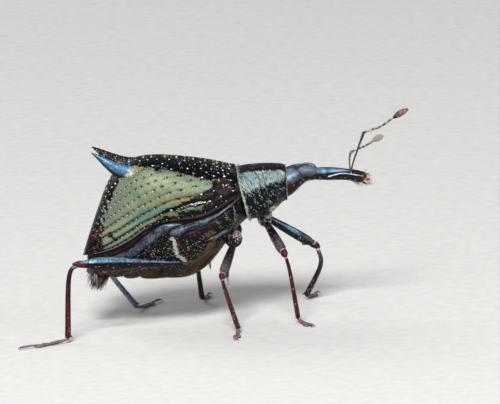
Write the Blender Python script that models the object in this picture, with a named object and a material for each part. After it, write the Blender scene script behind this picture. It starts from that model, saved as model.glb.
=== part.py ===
"""Scolopterus aequus, a small spined weevil, standing on its six feet: a still model at life size.

+X is forward, +Y is the animal's left side and the feet stand on the plane z = 0.
Sizes are in millimetres, and each finished mesh is scaled to metres.
The body is shaped level, in its own frame, and then leans nose down by BODY_PITCH.
Left pieces are made first, and right ones are their mirror images wherever the body is symmetric.
"""

import math

import bmesh
import bpy
import numpy as np
from mathutils import Matrix, Vector

MM = 0.001
GAP = 0.012  # least clearance where two pieces meet, in scale with shins 0.14 mm thick
SWELL = 0.02  # growth of a piece that is cut out of its neighbour: flats end up nearer than corners
BODY_PITCH = math.radians(4.0)
LEFT = np.array([0.0, 1.0, 0.0])
UP = np.array([0.0, 0.0, 1.0])

# Wing cases (elytra), in the body's frame: the back line as (forward, up) and the lower
# margin as (forward, half width, up), both from the base to the tip at the rear.
BACK_LINE = [
    (0.445, 4.28), (-0.50, 4.48), (-1.70, 4.59), (-2.40, 4.50), (-2.86, 4.20),
    (-3.14, 3.76), (-3.37, 3.14), (-3.60, 2.45), (-3.80, 1.80),
]
MARGIN_LINE = [
    (0.55, 1.24, 3.70), (-0.40, 1.36, 3.14), (-1.45, 1.30, 2.96), (-2.05, 1.22, 2.74),
    (-2.45, 1.12, 2.44), (-2.85, 0.97, 2.18), (-3.22, 0.74, 2.01), (-3.52, 0.47, 1.90),
    (-3.77, 0.06, 1.78),
]
SHELL_POWER = 2.6  # squareness of the wing cases' arch
SHELL_DEPTH = 0.45
DEEPEST_SHARE = 0.55  # of the way to the body's core, where the wing cases taper away
SHELL_ROWS = 21  # cross-sections from the base to the tip
STRIAE = 10
STRIA_DEPTH = 0.028
STRIA_FADE = (0.5, 0.35)  # how fast the striae deepen, per cross-section, from the base and the tip

# Rear spine: key points as (forward, left, up, half width, half depth), root first.
SPINE = [
    (-2.46, 0.49, 4.28, 0.14, 0.14), (-2.68, 0.50, 4.31, 0.18, 0.19),
    (-2.88, 0.50, 4.40, 0.14, 0.15), (-3.08, 0.50, 4.52, 0.09, 0.10),
    (-3.34, 0.49, 4.66, 0.05, 0.055), (-3.58, 0.47, 4.77, 0.014, 0.014),
]
SHOULDER_KNOB = (0.12, 1.20, 3.93)
SHOULDER_KNOB_RADII = (0.27, 0.24, 0.22)
SCUTELLUM = (0.335, 0.0, 4.302)  # the small shield between the wing cases' bases
SCUTELLUM_RADII = (0.085, 0.065, 0.038)

# Thorax and abdomen: the belly line as (forward, up) beneath the keys of the margin line.
BELLY_LINE = [
    (0.52, 2.62), (-0.38, 1.46), (-1.20, 1.18), (-1.95, 1.16), (-2.45, 1.17),
    (-2.90, 1.20), (-3.25, 1.22), (-3.55, 1.26), (-3.74, 1.40),
]
BELLY_POWER = 2.2
UPPER_POINTS = 8  # points of a half section inside the wing case, and below its margin
LOWER_POINTS = 9
UNDER_SHELL = 0.026  # clearance between the wing case and the body inside it
LEDGE = 0.05  # the body's side lies this far inside the wing case's margin
COLLAR_INSET = 0.05  # the thorax's front ring lies this far inside the pronotum's rear face
WAIST = 6  # cross-section where the thorax meets the abdomen
VENTRITES = [6.2, 8.6, 11.2, 13.6, 15.9, 18.5]  # cross-sections at the edges of the belly plates
VENTRITE_STEP = 0.035  # each belly plate starts this far inside the one before
VENTRITE_SLOPE = 0.08  # cross-sections over which the step is made
SIDE_PLATE = (0.05, 0.10)  # half thickness and half depth of the plates under the margin
SIDE_PLATE_FADE = 0.65  # share of their thickness lost towards the ends
SIDE_PLATE_RINGS = 6
THORAX_PLATE = (0.5, 5.6)  # cross-sections at the plates' two ends
ABDOMEN_PLATE = (6.5, 12.0)

# Fore body: rings as (top forward, top up, bottom forward, bottom up, half width).
PRONOTUM = [
    (0.476, 4.264, 0.840, 2.824, 0.93), (0.76, 4.32, 1.05, 2.85, 1.00),
    (1.09, 4.35, 1.32, 2.91, 0.97), (1.43, 4.365, 1.57, 3.10, 0.84),
    (1.70, 4.356, 1.76, 3.29, 0.66), (1.848, 4.32, 1.904, 3.366, 0.55),
]
HEAD = [
    (1.868, 4.28, 1.922, 3.394, 0.50), (2.07, 4.327, 2.072, 3.537, 0.47),
    (2.296, 4.355, 2.268, 3.737, 0.42), (2.52, 4.33, 2.464, 3.879, 0.33),
    (2.73, 4.256, 2.688, 3.914, 0.20),
]
ROSTRUM = [
    (2.747, 4.250, 2.705, 3.908, 0.19), (3.11, 4.262, 3.11, 3.90, 0.165),
    (3.53, 4.222, 3.53, 3.902, 0.165), (3.81, 4.187, 3.80, 3.85, 0.195),
    (4.03, 4.130, 3.98, 3.825, 0.175), (4.105, 4.06, 4.07, 3.86, 0.13),
]
SCROBE = (3.42, 0.188, 4.06)  # the groove along the snout that takes the feeler's first joint
SCROBE_RADII = (0.36, 0.05, 0.04)
MANDIBLE = (4.125, 0.042, 3.955)
MANDIBLE_RADII = (0.09, 0.058, 0.06)
EYE = (2.46, 0.315, 4.18)
EYE_RADII = (0.26, 0.125, 0.125)

# Feelers: key points as (forward, left, up) in world millimetres, from the snout outwards.
FEELERS = {
    "right": {
        "scape": [(3.96, -0.16, 3.85), (4.02, -0.30, 4.14), (4.215, -0.45, 4.648), (4.382, -0.60, 5.066)],
        "funicle": [(4.382, -0.60, 5.066), (4.639, -0.68, 5.149), (4.868, -0.74, 5.23), (5.22, -0.83, 5.46)],
        "club": [(5.22, -0.83, 5.46), (5.44, -0.88, 5.60), (5.685, -0.92, 5.721)],
    },
    "left": {
        "scape": [(3.96, 0.16, 3.85), (3.94, 0.50, 3.98), (3.975, 0.95, 4.164), (4.037, 1.15, 4.22)],
        "funicle": [(4.037, 1.15, 4.22), (4.25, 1.32, 4.26), (4.498, 1.50, 4.32), (4.66, 1.66, 4.39)],
        "club": [(4.66, 1.66, 4.39), (4.80, 1.79, 4.43), (4.96, 1.94, 4.46)],
    },
}
SCAPE_GIRTHS = [0.022, 0.022, 0.028, 0.042]
BEADS = 7  # joints of the funicle
BEAD_GIRTHS = (0.016, 0.014)  # half thickness at the waists, and what a bead's middle adds
CLUB_GIRTHS = [0.028, 0.088, 0.014]

# Hips: centre and radii of the left coxa of each pair.
COXAE = {
    "front": ((1.47, 0.36, 2.82), (0.21, 0.20, 0.28)),
    "mid": ((0.56, 0.60, 2.32), (0.25, 0.25, 0.26)),
    "hind": ((-0.82, 0.76, 1.68), (0.34, 0.28, 0.26)),
}
# Legs: hip, knee, shin's bend, ankle and toe in world millimetres, and the thigh's greatest half depth.
LEGS = {
    "front_right": {
        "hip": (1.52, -0.48, 2.64), "knee": (1.955, -1.80, 2.01), "bend": (2.06, -1.80, 1.50),
        "ankle": (2.20, -1.60, 0.17), "toe": (2.60, -2.36, 0.0), "girth": 0.125,
    },
    "front_left": {
        "hip": (1.54, 0.47, 2.64), "knee": (2.876, 1.10, 1.61), "bend": (2.95, 1.20, 1.05),
        "ankle": (2.50, 1.45, 0.15), "toe": (2.84, 2.24, 0.0), "girth": 0.125,
    },
    "mid_right": {
        "hip": (0.54, -0.78, 2.17), "knee": (0.162, -1.95, 1.511), "bend": (0.24, -2.06, 1.15),
        "ankle": (0.52, -2.40, 0.14), "toe": (0.44, -3.40, 0.0), "girth": 0.165,
    },
    "mid_left": {
        "hip": (0.52, 0.78, 2.17), "knee": (-0.45, 1.75, 1.45), "bend": (-0.50, 1.85, 1.10),
        "ankle": (-0.45, 2.12, 0.14), "toe": (-0.22, 3.10, 0.0), "girth": 0.165,
    },
    "hind_right": {
        "hip": (-0.90, -1.02, 1.79), "knee": (-3.78, -1.85, 2.15), "bend": (-4.06, -1.94, 1.82),
        "ankle": (-4.21, -2.15, 0.17), "toe": (-5.58, -2.62, 0.0), "girth": 0.18,
    },
    "hind_left": {
        "hip": (-0.90, 1.02, 1.79), "knee": (-3.20, 2.35, 1.46), "bend": (-3.14, 2.28, 1.20),
        "ankle": (-2.30, 1.55, 0.15), "toe": (-1.62, 2.72, 0.0), "girth": 0.18,
    },
}
# Thigh: (share of its length, share of its girth), slender at the root and clubbed near the knee.
THIGH = [
    (0.0, 0.42), (0.12, 0.36), (0.32, 0.50), (0.52, 0.78),
    (0.70, 1.0), (0.84, 0.86), (0.95, 0.58), (1.03, 0.30),
]
FLATNESS = 0.8  # half width as a share of half depth, for thighs and shins
TROCHANTER = 0.50  # radius as a share of the girth
TOOTH_PLACE = 0.79  # the tooth under the thigh, as a share of its length
TOOTH_LENGTH = 0.15
SHIN_GIRTHS = [0.055, 0.058, 0.066, 0.076, 0.085]
SPUR_LENGTH = 0.10
LOBE_RADII = (0.14, 0.058, 0.044)  # the two lobes of the foot's third joint
CLAW_SPREAD = 0.06

for old in list(bpy.data.objects):
    bpy.data.objects.remove(old, do_unlink=True)
WEEVIL = bpy.data.collections.new("scolopterus_aequus")
bpy.context.scene.collection.children.link(WEEVIL)


def smooth(keys, count):
    """Rows of numbers along a smooth curve through the key rows, evenly spaced between the keys."""
    keys = np.array(keys, float)
    padded = np.vstack([2 * keys[0] - keys[1], keys, 2 * keys[-1] - keys[-2]])
    rows = []
    for place in np.linspace(0, len(keys) - 1, count):
        step = min(int(place), len(keys) - 2)
        t = place - step
        a, b, c, d = padded[step : step + 4]
        bend = (2 * a - 5 * b + 4 * c - d) * t**2 + (3 * b - a - 3 * c + d) * t**3
        rows.append(0.5 * (2 * b + (c - a) * t + bend))
    return np.array(rows)


def unit(vector):
    return vector / np.linalg.norm(vector)


def arc(power, count):
    """A quarter of a superellipse as (across, down), 0 to 1, evenly spaced along its length."""
    angles = np.linspace(0, math.pi / 2, 129)
    across = np.sin(angles) ** (2 / power)
    down = 1 - np.abs(np.cos(angles)) ** (2 / power)
    length = np.concatenate([[0], np.cumsum(np.hypot(np.diff(across), np.diff(down)))])
    places = np.linspace(0, length[-1], count)
    return np.interp(places, length, across), np.interp(places, length, down)


def ring(centre, across, deep, half_width, half_depth, sides, power=2.0):
    """Points of one cross-section, a superellipse on two directions."""
    points = []
    for i in range(sides):
        angle = 2 * math.pi * (i + 0.5) / sides
        c, s = math.cos(angle), math.sin(angle)
        x = half_width * math.copysign(abs(c) ** (2 / power), c)
        y = half_depth * math.copysign(abs(s) ** (2 / power), s)
        points.append(centre + across * x + deep * y)
    return points


def new_object(name, bm):
    """An object in the weevil's collection from a closed bmesh, its faces turned outwards."""
    bmesh.ops.recalc_face_normals(bm, faces=bm.faces)
    mesh = bpy.data.meshes.new(name)
    bm.to_mesh(mesh)
    bm.free()
    obj = bpy.data.objects.new(name, mesh)
    WEEVIL.objects.link(obj)
    return obj


def loft(name, rings):
    """A closed solid through rings of equal count, capped at both ends."""
    bm = bmesh.new()
    rows = [[bm.verts.new(point) for point in points] for points in rings]
    for low, high in zip(rows, rows[1:]):
        for i in range(len(low)):
            j = (i + 1) % len(low)
            bm.faces.new((low[i], low[j], high[j], high[i]))
    bm.faces.new(rows[0][::-1])
    bm.faces.new(rows[-1])
    return new_object(name, bm)


def limb(name, keys, normal, sides, rings):
    """A tapering limb through keys (x, y, z, half width, half depth), its width along the normal."""
    rows = smooth(keys, rings)
    ways = np.gradient(rows[:, :3], axis=0)
    sections = []
    for row, way in zip(rows, ways):
        deep = unit(np.cross(normal, way))
        across = unit(np.cross(way, deep))
        sections.append(ring(row[:3], across, deep, row[3], row[4], sides))
    return loft(name, sections)


def barrel(name, keys, sides, rings, power=2.2):
    """A loft through rings given by their top, their bottom and their half width."""
    sections = []
    for top_x, top_z, low_x, low_z, half_width in smooth(keys, rings):
        top = np.array([top_x, 0.0, top_z])
        low = np.array([low_x, 0.0, low_z])
        half_depth = np.linalg.norm(top - low) / 2
        centre = (top + low) / 2
        sections.append(ring(centre, LEFT, unit(top - low), half_width, half_depth, sides, power))
    return loft(name, sections)


def ellipsoid(name, centre, radii, segments=12, rings=7, heading=0.0):
    bm = bmesh.new()
    turn = Matrix.Rotation(heading, 4, "Z")
    place = Matrix.Translation(Vector(centre)) @ turn @ Matrix.Diagonal((*radii, 1.0))
    bmesh.ops.create_uvsphere(bm, u_segments=segments, v_segments=rings, radius=1.0, matrix=place)
    return new_object(name, bm)


def keep_largest(obj):
    """Leaves only the closed surface with the largest box."""
    bm = bmesh.new()
    bm.from_mesh(obj.data)
    left = set(bm.verts)
    shells = []
    while left:
        to_visit = [left.pop()]
        shell = set(to_visit)
        while to_visit:
            for edge in to_visit.pop().link_edges:
                for vert in edge.verts:
                    if vert in left:
                        left.remove(vert)
                        shell.add(vert)
                        to_visit.append(vert)
        shells.append(shell)
    boxes = [np.prod(np.ptp(np.array([vert.co for vert in shell]), axis=0)) for shell in shells]
    kept = shells[int(np.argmax(boxes))]
    bmesh.ops.delete(bm, geom=[vert for vert in bm.verts if vert not in kept], context="VERTS")
    bm.to_mesh(obj.data)
    bm.free()


def combine(obj, others, operation):
    """Unites the others with the object, or cuts them out of it, and removes them."""
    tools = bpy.data.collections.new("tools")
    bpy.context.scene.collection.children.link(tools)
    for other in others:
        WEEVIL.objects.unlink(other)
        tools.objects.link(other)
    modifier = obj.modifiers.new("combine", "BOOLEAN")
    modifier.operand_type = "COLLECTION"
    modifier.collection = tools
    modifier.operation = operation
    modifier.solver = "MANIFOLD"
    evaluated = obj.evaluated_get(bpy.context.evaluated_depsgraph_get())
    joined = bpy.data.meshes.new_from_object(evaluated)
    obj.modifiers.clear()
    obj.data = joined
    for other in others:
        bpy.data.objects.remove(other, do_unlink=True)
    bpy.data.collections.remove(tools)
    keep_largest(obj)
    return obj


def swollen(obj, by):
    """A copy of the object, grown outwards by a distance."""
    bm = bmesh.new()
    bm.from_mesh(obj.data)
    bm.normal_update()
    grown = [(vert, vert.co + vert.normal * by) for vert in bm.verts]
    for vert, place in grown:
        vert.co = place
    return new_object("swollen", bm)


def cut_clear(obj, *neighbours):
    """Cuts the object back from its neighbours, leaving the clearance."""
    return combine(obj, [swollen(neighbour, SWELL) for neighbour in neighbours], "DIFFERENCE")


def mirrored(obj, name):
    """The same piece on the other side of the body."""
    bm = bmesh.new()
    bm.from_mesh(obj.data)
    bmesh.ops.scale(bm, vec=(1, -1, 1), verts=bm.verts)
    return new_object(name, bm)


def lean(obj):
    """Turns a piece from the body's level frame to the standing pose."""
    obj.data.transform(Matrix.Rotation(BODY_PITCH, 4, "Y"))
    return obj


def shell_section(back, margin, inset, count, clearance=0.0):
    """Points across one wing case from the suture to the margin, inset towards the body's core."""
    across, down = arc(SHELL_POWER, count)
    core = np.array([margin[0], 0.0, margin[2]])
    points = []
    for a, d in zip(across, down):
        place = np.array([
            back[0] + (margin[0] - back[0]) * d,
            margin[1] * a,
            back[1] + (margin[2] - back[1]) * d,
        ])
        reach = np.linalg.norm(core - place)
        points.append(place + (core - place) / reach * (min(inset, DEEPEST_SHARE * reach) + clearance))
    return points


def wing_case(backs, margins):
    """The left wing case: an arched shell with grooved striae, a rear spine and a shoulder knob."""
    columns = 2 * STRIAE + 1
    suture = LEFT * GAP / 2
    sections = []
    for row, (back, margin) in enumerate(zip(backs, margins)):
        outside = shell_section(back, margin, 0.0, columns)
        inside = shell_section(back, margin, SHELL_DEPTH, columns)
        fade = min(1.0, STRIA_FADE[0] * row, STRIA_FADE[1] * (SHELL_ROWS - 1 - row))
        for i in range(1, columns, 2):
            outside[i] = outside[i] + unit(inside[i] - outside[i]) * STRIA_DEPTH * fade
        sections.append([point + suture for point in outside + inside[::-1]])
    shell = loft("elytron_left", sections)
    spine = limb("spine", SPINE, LEFT, sides=8, rings=10)
    knob = ellipsoid("knob", SHOULDER_KNOB, SHOULDER_KNOB_RADII)
    return combine(shell, [spine, knob], "UNION")


def body_section(back, margin, belly):
    """A closed section of the body: inside the wing cases, out under their margin and round the belly."""
    half = shell_section(back, margin, SHELL_DEPTH, UPPER_POINTS, UNDER_SHELL)
    half[-1] = np.array([half[-1][0], half[-1][1], margin[2] - UNDER_SHELL])
    side = np.array([margin[0], max(margin[1] - LEDGE, 0.02), margin[2] - UNDER_SHELL])
    keel = np.array([belly[0], 0.0, belly[1]])
    across, down = arc(BELLY_POWER, LOWER_POINTS)
    for a, d in zip(across[::-1], down[::-1]):
        place = side + (keel - side) * (1 - d)
        half.append(np.array([place[0], side[1] * a, place[2]]))
    return half + [point * np.array([1, -1, 1]) for point in half[-2:0:-1]]


def between(sections, place, tuck=0.0):
    """The body's section at a place between two rows, its lower side tucked in by a distance."""
    row = min(int(place), len(sections) - 2)
    share = place - row
    points = [low + (high - low) * share for low, high in zip(sections[row], sections[row + 1])]
    middle = sum(points) / len(points)
    first = UPPER_POINTS + 1
    last = len(points) - UPPER_POINTS
    for i in range(first, last):
        points[i] = points[i] + unit(middle - points[i]) * tuck
    return points


def collar(points):
    """The thorax's front ring: the first ring's outline fitted to the rear face of the pronotum."""
    top_x, top_z, low_x, low_z, half_width = PRONOTUM[0]
    highest = max(point[2] for point in points)
    lowest = min(point[2] for point in points)
    widest = max(point[1] for point in points)
    fitted = []
    for point in points:
        share = (highest - point[2]) / (highest - lowest)
        z = highest - share * (highest - low_z - COLLAR_INSET)
        x = top_x + (low_x - top_x) * (top_z - z) / (top_z - low_z) - 2 * GAP
        fitted.append(np.array([x, point[1] / widest * (half_width - COLLAR_INSET), z]))
    return fitted


def side_plates(sections, ends):
    """Two raised plates along the body just under the wing cases' margins, to be fused with it."""
    plates = []
    for side in (1, -1):
        keys = []
        for i, place in enumerate(np.linspace(*ends, SIDE_PLATE_RINGS)):
            points = between(sections, place)
            spot = 0.8 * points[UPPER_POINTS + 1] + 0.2 * points[UPPER_POINTS + 2]
            fade = 1 - SIDE_PLATE_FADE * (1 - math.sin(math.pi * (i + 0.5) / SIDE_PLATE_RINGS))
            keys.append((spot[0], side * spot[1], spot[2], SIDE_PLATE[0] * fade, SIDE_PLATE[1] * fade))
        plates.append(limb("plate", keys, LEFT, sides=8, rings=10))
    return plates


def thorax(sections):
    rings = [collar(sections[0])] + sections[: WAIST + 1]
    return combine(loft("thorax", rings), side_plates(sections, THORAX_PLATE), "UNION")


def abdomen(sections):
    """Five belly plates, each stepped in a little where it leaves the one before."""
    rings = [between(sections, VENTRITES[0])]
    for start, end in zip(VENTRITES, VENTRITES[1:]):
        rings.append(between(sections, (start + end) / 2))
        rings.append(between(sections, end))
        if end != VENTRITES[-1]:
            rings.append(between(sections, end + VENTRITE_SLOPE, VENTRITE_STEP))
    return combine(loft("abdomen", rings), side_plates(sections, ABDOMEN_PLATE), "UNION")


def snout():
    body = barrel("rostrum", ROSTRUM, sides=14, rings=11)
    grooves = []
    for side in (1, -1):
        grooves.append(ellipsoid("groove", (SCROBE[0], side * SCROBE[1], SCROBE[2]), SCROBE_RADII))
    return combine(body, grooves, "DIFFERENCE")


def mandibles():
    halves = []
    for side in (1, -1):
        centre = (MANDIBLE[0], side * MANDIBLE[1], MANDIBLE[2])
        halves.append(ellipsoid("mandibles", centre, MANDIBLE_RADII, 10, 6))
    return combine(halves[0], halves[1:], "UNION")


def feeler(side):
    """The three parts of one elbowed feeler."""
    route = FEELERS[side]
    scape_keys = [(*point, girth, girth) for point, girth in zip(route["scape"], SCAPE_GIRTHS)]
    scape = limb("scape_" + side, scape_keys, LEFT, sides=8, rings=9)
    beads = []
    for i, point in enumerate(smooth(route["funicle"], 4 * BEADS + 1)):
        girth = BEAD_GIRTHS[0] + BEAD_GIRTHS[1] * math.sin(math.pi * (i % 4 + 0.5) / 4)
        beads.append((*point, girth, girth))
    funicle = limb("funicle_" + side, beads, LEFT, sides=6, rings=len(beads))
    club_keys = [(*point, girth, girth) for point, girth in zip(route["club"], CLUB_GIRTHS)]
    club = limb("club_" + side, club_keys, LEFT, sides=8, rings=8)
    return scape, funicle, club


def thigh(name, leg):
    """The femur, with the trochanter at its root and a small tooth beneath."""
    hip, knee, ankle = (np.array(leg[joint]) for joint in ("hip", "knee", "ankle"))
    normal = unit(np.cross(knee - hip, ankle - knee))
    keys = []
    for share, girth in THIGH:
        depth = girth * leg["girth"]
        keys.append((*(hip + (knee - hip) * share), FLATNESS * depth, depth))
    body = limb(name, keys, normal, sides=10, rings=13)
    way = unit(knee - hip)
    inner = unit((ankle - knee) - way * np.dot(ankle - knee, way))
    root = hip + (knee - hip) * TOOTH_PLACE + inner * 0.5 * leg["girth"]
    tip = root + inner * (0.45 * leg["girth"] + TOOTH_LENGTH) + way * 0.04
    tooth = limb("tooth", [(*root, 0.05, 0.07), (*tip, 0.010, 0.012)], normal, sides=6, rings=3)
    radius = TROCHANTER * leg["girth"]
    trochanter = ellipsoid("trochanter", hip, (radius * 1.3, radius, radius), 10, 6)
    return combine(body, [tooth, trochanter], "UNION")


def shin(name, leg):
    """The tibia, widening to the ankle, with a hooked spur at its end."""
    hip, knee, ankle = (np.array(leg[joint]) for joint in ("hip", "knee", "ankle"))
    normal = unit(np.cross(knee - hip, ankle - knee))
    path = smooth([leg["knee"], leg["bend"], leg["ankle"]], len(SHIN_GIRTHS))
    keys = [(*place, FLATNESS * girth, girth) for place, girth in zip(path, SHIN_GIRTHS)]
    body = limb(name, keys, normal, sides=8, rings=10)
    way = unit(ankle - knee)
    inner = unit((hip - ankle) - way * np.dot(hip - ankle, way))
    root = ankle - way * 0.06 + inner * 0.03
    spur = limb("spur", [
        (*root, 0.03, 0.03), (*(root + inner * SPUR_LENGTH * 0.6 + way * 0.02), 0.018, 0.018),
        (*(root + inner * SPUR_LENGTH + way * 0.06), 0.006, 0.006),
    ], normal, sides=6, rings=4)
    return combine(body, [spur], "UNION")


def foot(name, leg):
    """The tarsus: two joints, a lobed third one, the claw joint and two claws, flat beneath."""
    ankle, toe = np.array(leg["ankle"]), np.array(leg["toe"])
    level = (toe - ankle) * np.array([1, 1, 0])
    length = np.linalg.norm(level)
    way = unit(level)
    side = np.cross(UP, way)

    def spot(share, aside, height):
        return ankle * np.array([1, 1, 0]) + way * share * length + side * aside + UP * height

    first = limb(name, [
        (*spot(-0.02, 0, 0.13), 0.035, 0.035), (*spot(0.15, 0, 0.085), 0.045, 0.042),
        (*spot(0.34, 0, 0.055), 0.060, 0.048),
    ], side, sides=8, rings=5)
    second = limb("second", [
        (*spot(0.29, 0, 0.055), 0.030, 0.030), (*spot(0.40, 0, 0.052), 0.050, 0.045),
        (*spot(0.52, 0, 0.050), 0.066, 0.045),
    ], side, sides=8, rings=4)
    heading = math.atan2(way[1], way[0])
    lobes = []
    for turned in (-1, 1):
        centre = spot(0.585, 0.052 * turned, 0.036)
        lobes.append(ellipsoid("lobe", centre, LOBE_RADII, 8, 6, heading))
    claw_joint = limb("claw_joint", [
        (*spot(0.50, 0, 0.050), 0.022, 0.022), (*spot(0.72, 0, 0.076), 0.026, 0.028),
        (*spot(0.93, 0, 0.070), 0.036, 0.034),
    ], side, sides=8, rings=6)
    claws = []
    for turned in (-1, 1):
        claws.append(limb("claw", [
            (*spot(0.90, 0.012 * turned, 0.070), 0.018, 0.018),
            (*spot(0.965, 0.75 * CLAW_SPREAD * turned, 0.066), 0.016, 0.016),
            (*spot(1.00, CLAW_SPREAD * turned, 0.012), 0.006, 0.006),
        ], side, sides=6, rings=4))
    return combine(first, [second, *lobes, claw_joint, *claws], "UNION")


def floor_block():
    """A block whose top is the floor, to cut the feet flat."""
    bm = bmesh.new()
    place = Matrix.Translation((0, 0, -1)) @ Matrix.Diagonal((14, 10, 2, 1))
    bmesh.ops.create_cube(bm, size=1.0, matrix=place)
    return new_object("floor_block", bm)


def finish(pieces, name, colour, roughness, metallic=0.0):
    """Gives the pieces their material, their shading and their real size in metres."""
    look = bpy.data.materials.new(name)
    look.use_nodes = True
    shader = look.node_tree.nodes["Principled BSDF"]
    shader.inputs["Base Color"].default_value = (*colour, 1.0)
    shader.inputs["Roughness"].default_value = roughness
    shader.inputs["Metallic"].default_value = metallic
    for piece in pieces:
        piece.data.materials.clear()
        piece.data.materials.append(look)
        piece.data.transform(Matrix.Scale(MM, 4))
        piece.data.shade_smooth()
        piece.data.set_sharp_from_angle(angle=math.radians(40))


# Body
back_rows = smooth(BACK_LINE, SHELL_ROWS)
margin_rows = smooth(MARGIN_LINE, SHELL_ROWS)
belly_rows = smooth(BELLY_LINE, SHELL_ROWS)
sections = [body_section(*rows) for rows in zip(back_rows, margin_rows, belly_rows)]

scutellum = lean(ellipsoid("scutellum", SCUTELLUM, SCUTELLUM_RADII, 10, 6))
left_case = cut_clear(lean(wing_case(back_rows, margin_rows)), scutellum)
right_case = mirrored(left_case, "elytron_right")
thorax_body = lean(thorax(sections))
abdomen_body = lean(abdomen(sections))
pronotum = lean(barrel("pronotum", PRONOTUM, sides=22, rings=11))

# Head
head = lean(barrel("head", HEAD, sides=22, rings=8))
eyes = []
for side, sign in (("left", 1), ("right", -1)):
    eyes.append(lean(ellipsoid("eye_" + side, (EYE[0], sign * EYE[1], EYE[2]), EYE_RADII, 14, 8)))
cut_clear(head, *eyes)
rostrum = lean(snout())
jaws = cut_clear(lean(mandibles()), rostrum)
feelers, clubs = [], []
for side in ("left", "right"):
    scape, funicle, club = feeler(side)
    cut_clear(scape, rostrum)
    cut_clear(funicle, scape)
    cut_clear(club, funicle)
    feelers += [scape, funicle]
    clubs.append(club)

# Legs
hips = {}
for pair, (centre, radii) in COXAE.items():
    for side, sign in (("left", 1), ("right", -1)):
        leg = pair + "_" + side
        hips[leg] = ellipsoid("coxa_" + leg, (centre[0], sign * centre[1], centre[2]), radii)
cut_clear(pronotum, hips["front_left"], hips["front_right"])
cut_clear(thorax_body, *hips.values())
cut_clear(abdomen_body, hips["hind_left"], hips["hind_right"])
thighs, shins, feet = [], [], []
for name, leg in LEGS.items():
    upper = cut_clear(thigh("femur_" + name, leg), hips[name], thorax_body, abdomen_body, pronotum)
    lower = cut_clear(shin("tibia_" + name, leg), upper)
    end = cut_clear(foot("tarsus_" + name, leg), lower)
    combine(end, [floor_block()], "DIFFERENCE")
    thighs.append(upper)
    shins.append(lower)
    feet.append(end)

finish([left_case, right_case], "green_wing_case", (0.42, 0.47, 0.33), 0.38, 0.6)
finish([thorax_body, abdomen_body, pronotum, scutellum], "black_cuticle", (0.03, 0.025, 0.035), 0.3)
finish([head, rostrum], "blue_grey_cuticle", (0.13, 0.17, 0.23), 0.35, 0.4)
finish(eyes, "eye", (0.11, 0.12, 0.15), 0.25)
finish([*hips.values(), *thighs], "purple_black_cuticle", (0.06, 0.035, 0.06), 0.35, 0.2)
finish([*shins, jaws], "red_brown_cuticle", (0.25, 0.07, 0.05), 0.35)
finish(feet, "grey_brown_foot", (0.20, 0.17, 0.16), 0.55)
finish(feelers, "feeler", (0.16, 0.14, 0.15), 0.45)
finish(clubs, "feeler_club", (0.22, 0.18, 0.16), 0.6)
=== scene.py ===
"""Scolopterus aequus, a small spined weevil, as a still museum model at life size.

+X is forward, +Y is the animal's left side and the feet stand on z = 0. Shapes are worked
out in millimetres and scaled to metres when a piece is finished. The body is shaped level
and then leans nose down, as its solids do. Hips, legs and feelers are placed as they stand.
"""

import math

import bmesh
import bpy
import numpy as np
from mathutils import Matrix, Vector


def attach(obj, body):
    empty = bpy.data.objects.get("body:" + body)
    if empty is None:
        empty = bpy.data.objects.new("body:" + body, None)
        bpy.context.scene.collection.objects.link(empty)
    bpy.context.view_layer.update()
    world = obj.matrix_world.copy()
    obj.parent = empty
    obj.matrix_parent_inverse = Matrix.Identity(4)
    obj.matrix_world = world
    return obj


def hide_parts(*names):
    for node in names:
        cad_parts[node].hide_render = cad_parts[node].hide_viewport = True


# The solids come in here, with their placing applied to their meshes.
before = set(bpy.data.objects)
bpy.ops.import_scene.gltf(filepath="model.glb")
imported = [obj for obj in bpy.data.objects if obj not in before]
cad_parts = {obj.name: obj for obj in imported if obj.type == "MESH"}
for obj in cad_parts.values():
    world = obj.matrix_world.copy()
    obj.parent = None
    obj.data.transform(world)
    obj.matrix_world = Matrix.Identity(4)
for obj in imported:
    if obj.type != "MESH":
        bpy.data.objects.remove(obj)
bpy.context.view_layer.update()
rng = np.random.default_rng(547)

# Camera, lamps and floor

# The camera looks at the animal's right side, a little from above, and rolled a few
# degrees, as the picture was taken. A large soft lamp hangs over it, with a weak one at its
# head and another behind. The floor is a plain pale card.

MM = 0.001
LOOK_DOWN = math.radians(11)
ROLL = math.radians(4)
AIM = Vector((1.09, 0.60, 3.09)) * MM
FIELD = 14.0 * MM  # width of the view at the animal
SENSOR = 36.0
LENS = 600.0
NEAREST = 0.01  # where the camera's view starts
# Place and width of each lamp in metres, and its power in watts.
LAMPS = {
    "key": ((-0.02, -0.12, 0.13), 0.07, 0.40),
    "side": ((0.16, -0.05, 0.05), 0.05, 0.06),
    "rear": ((-0.10, 0.13, 0.10), 0.10, 0.12),
}
ROOM_LIGHT = (0.80, 0.83, 0.86, 1)
ROOM_STRENGTH = 0.25
FLOOR_RADIUS = 0.4

for name, (place, size, power) in LAMPS.items():
    lamp = bpy.data.lights.new(name, "AREA")
    lamp.shape = "DISK"
    lamp.size = size
    lamp.energy = power
    obj = bpy.data.objects.new(name, lamp)
    obj.location = place
    obj.rotation_euler = (AIM - Vector(place)).to_track_quat("-Z", "Y").to_euler()
    bpy.context.scene.collection.objects.link(obj)

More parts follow.
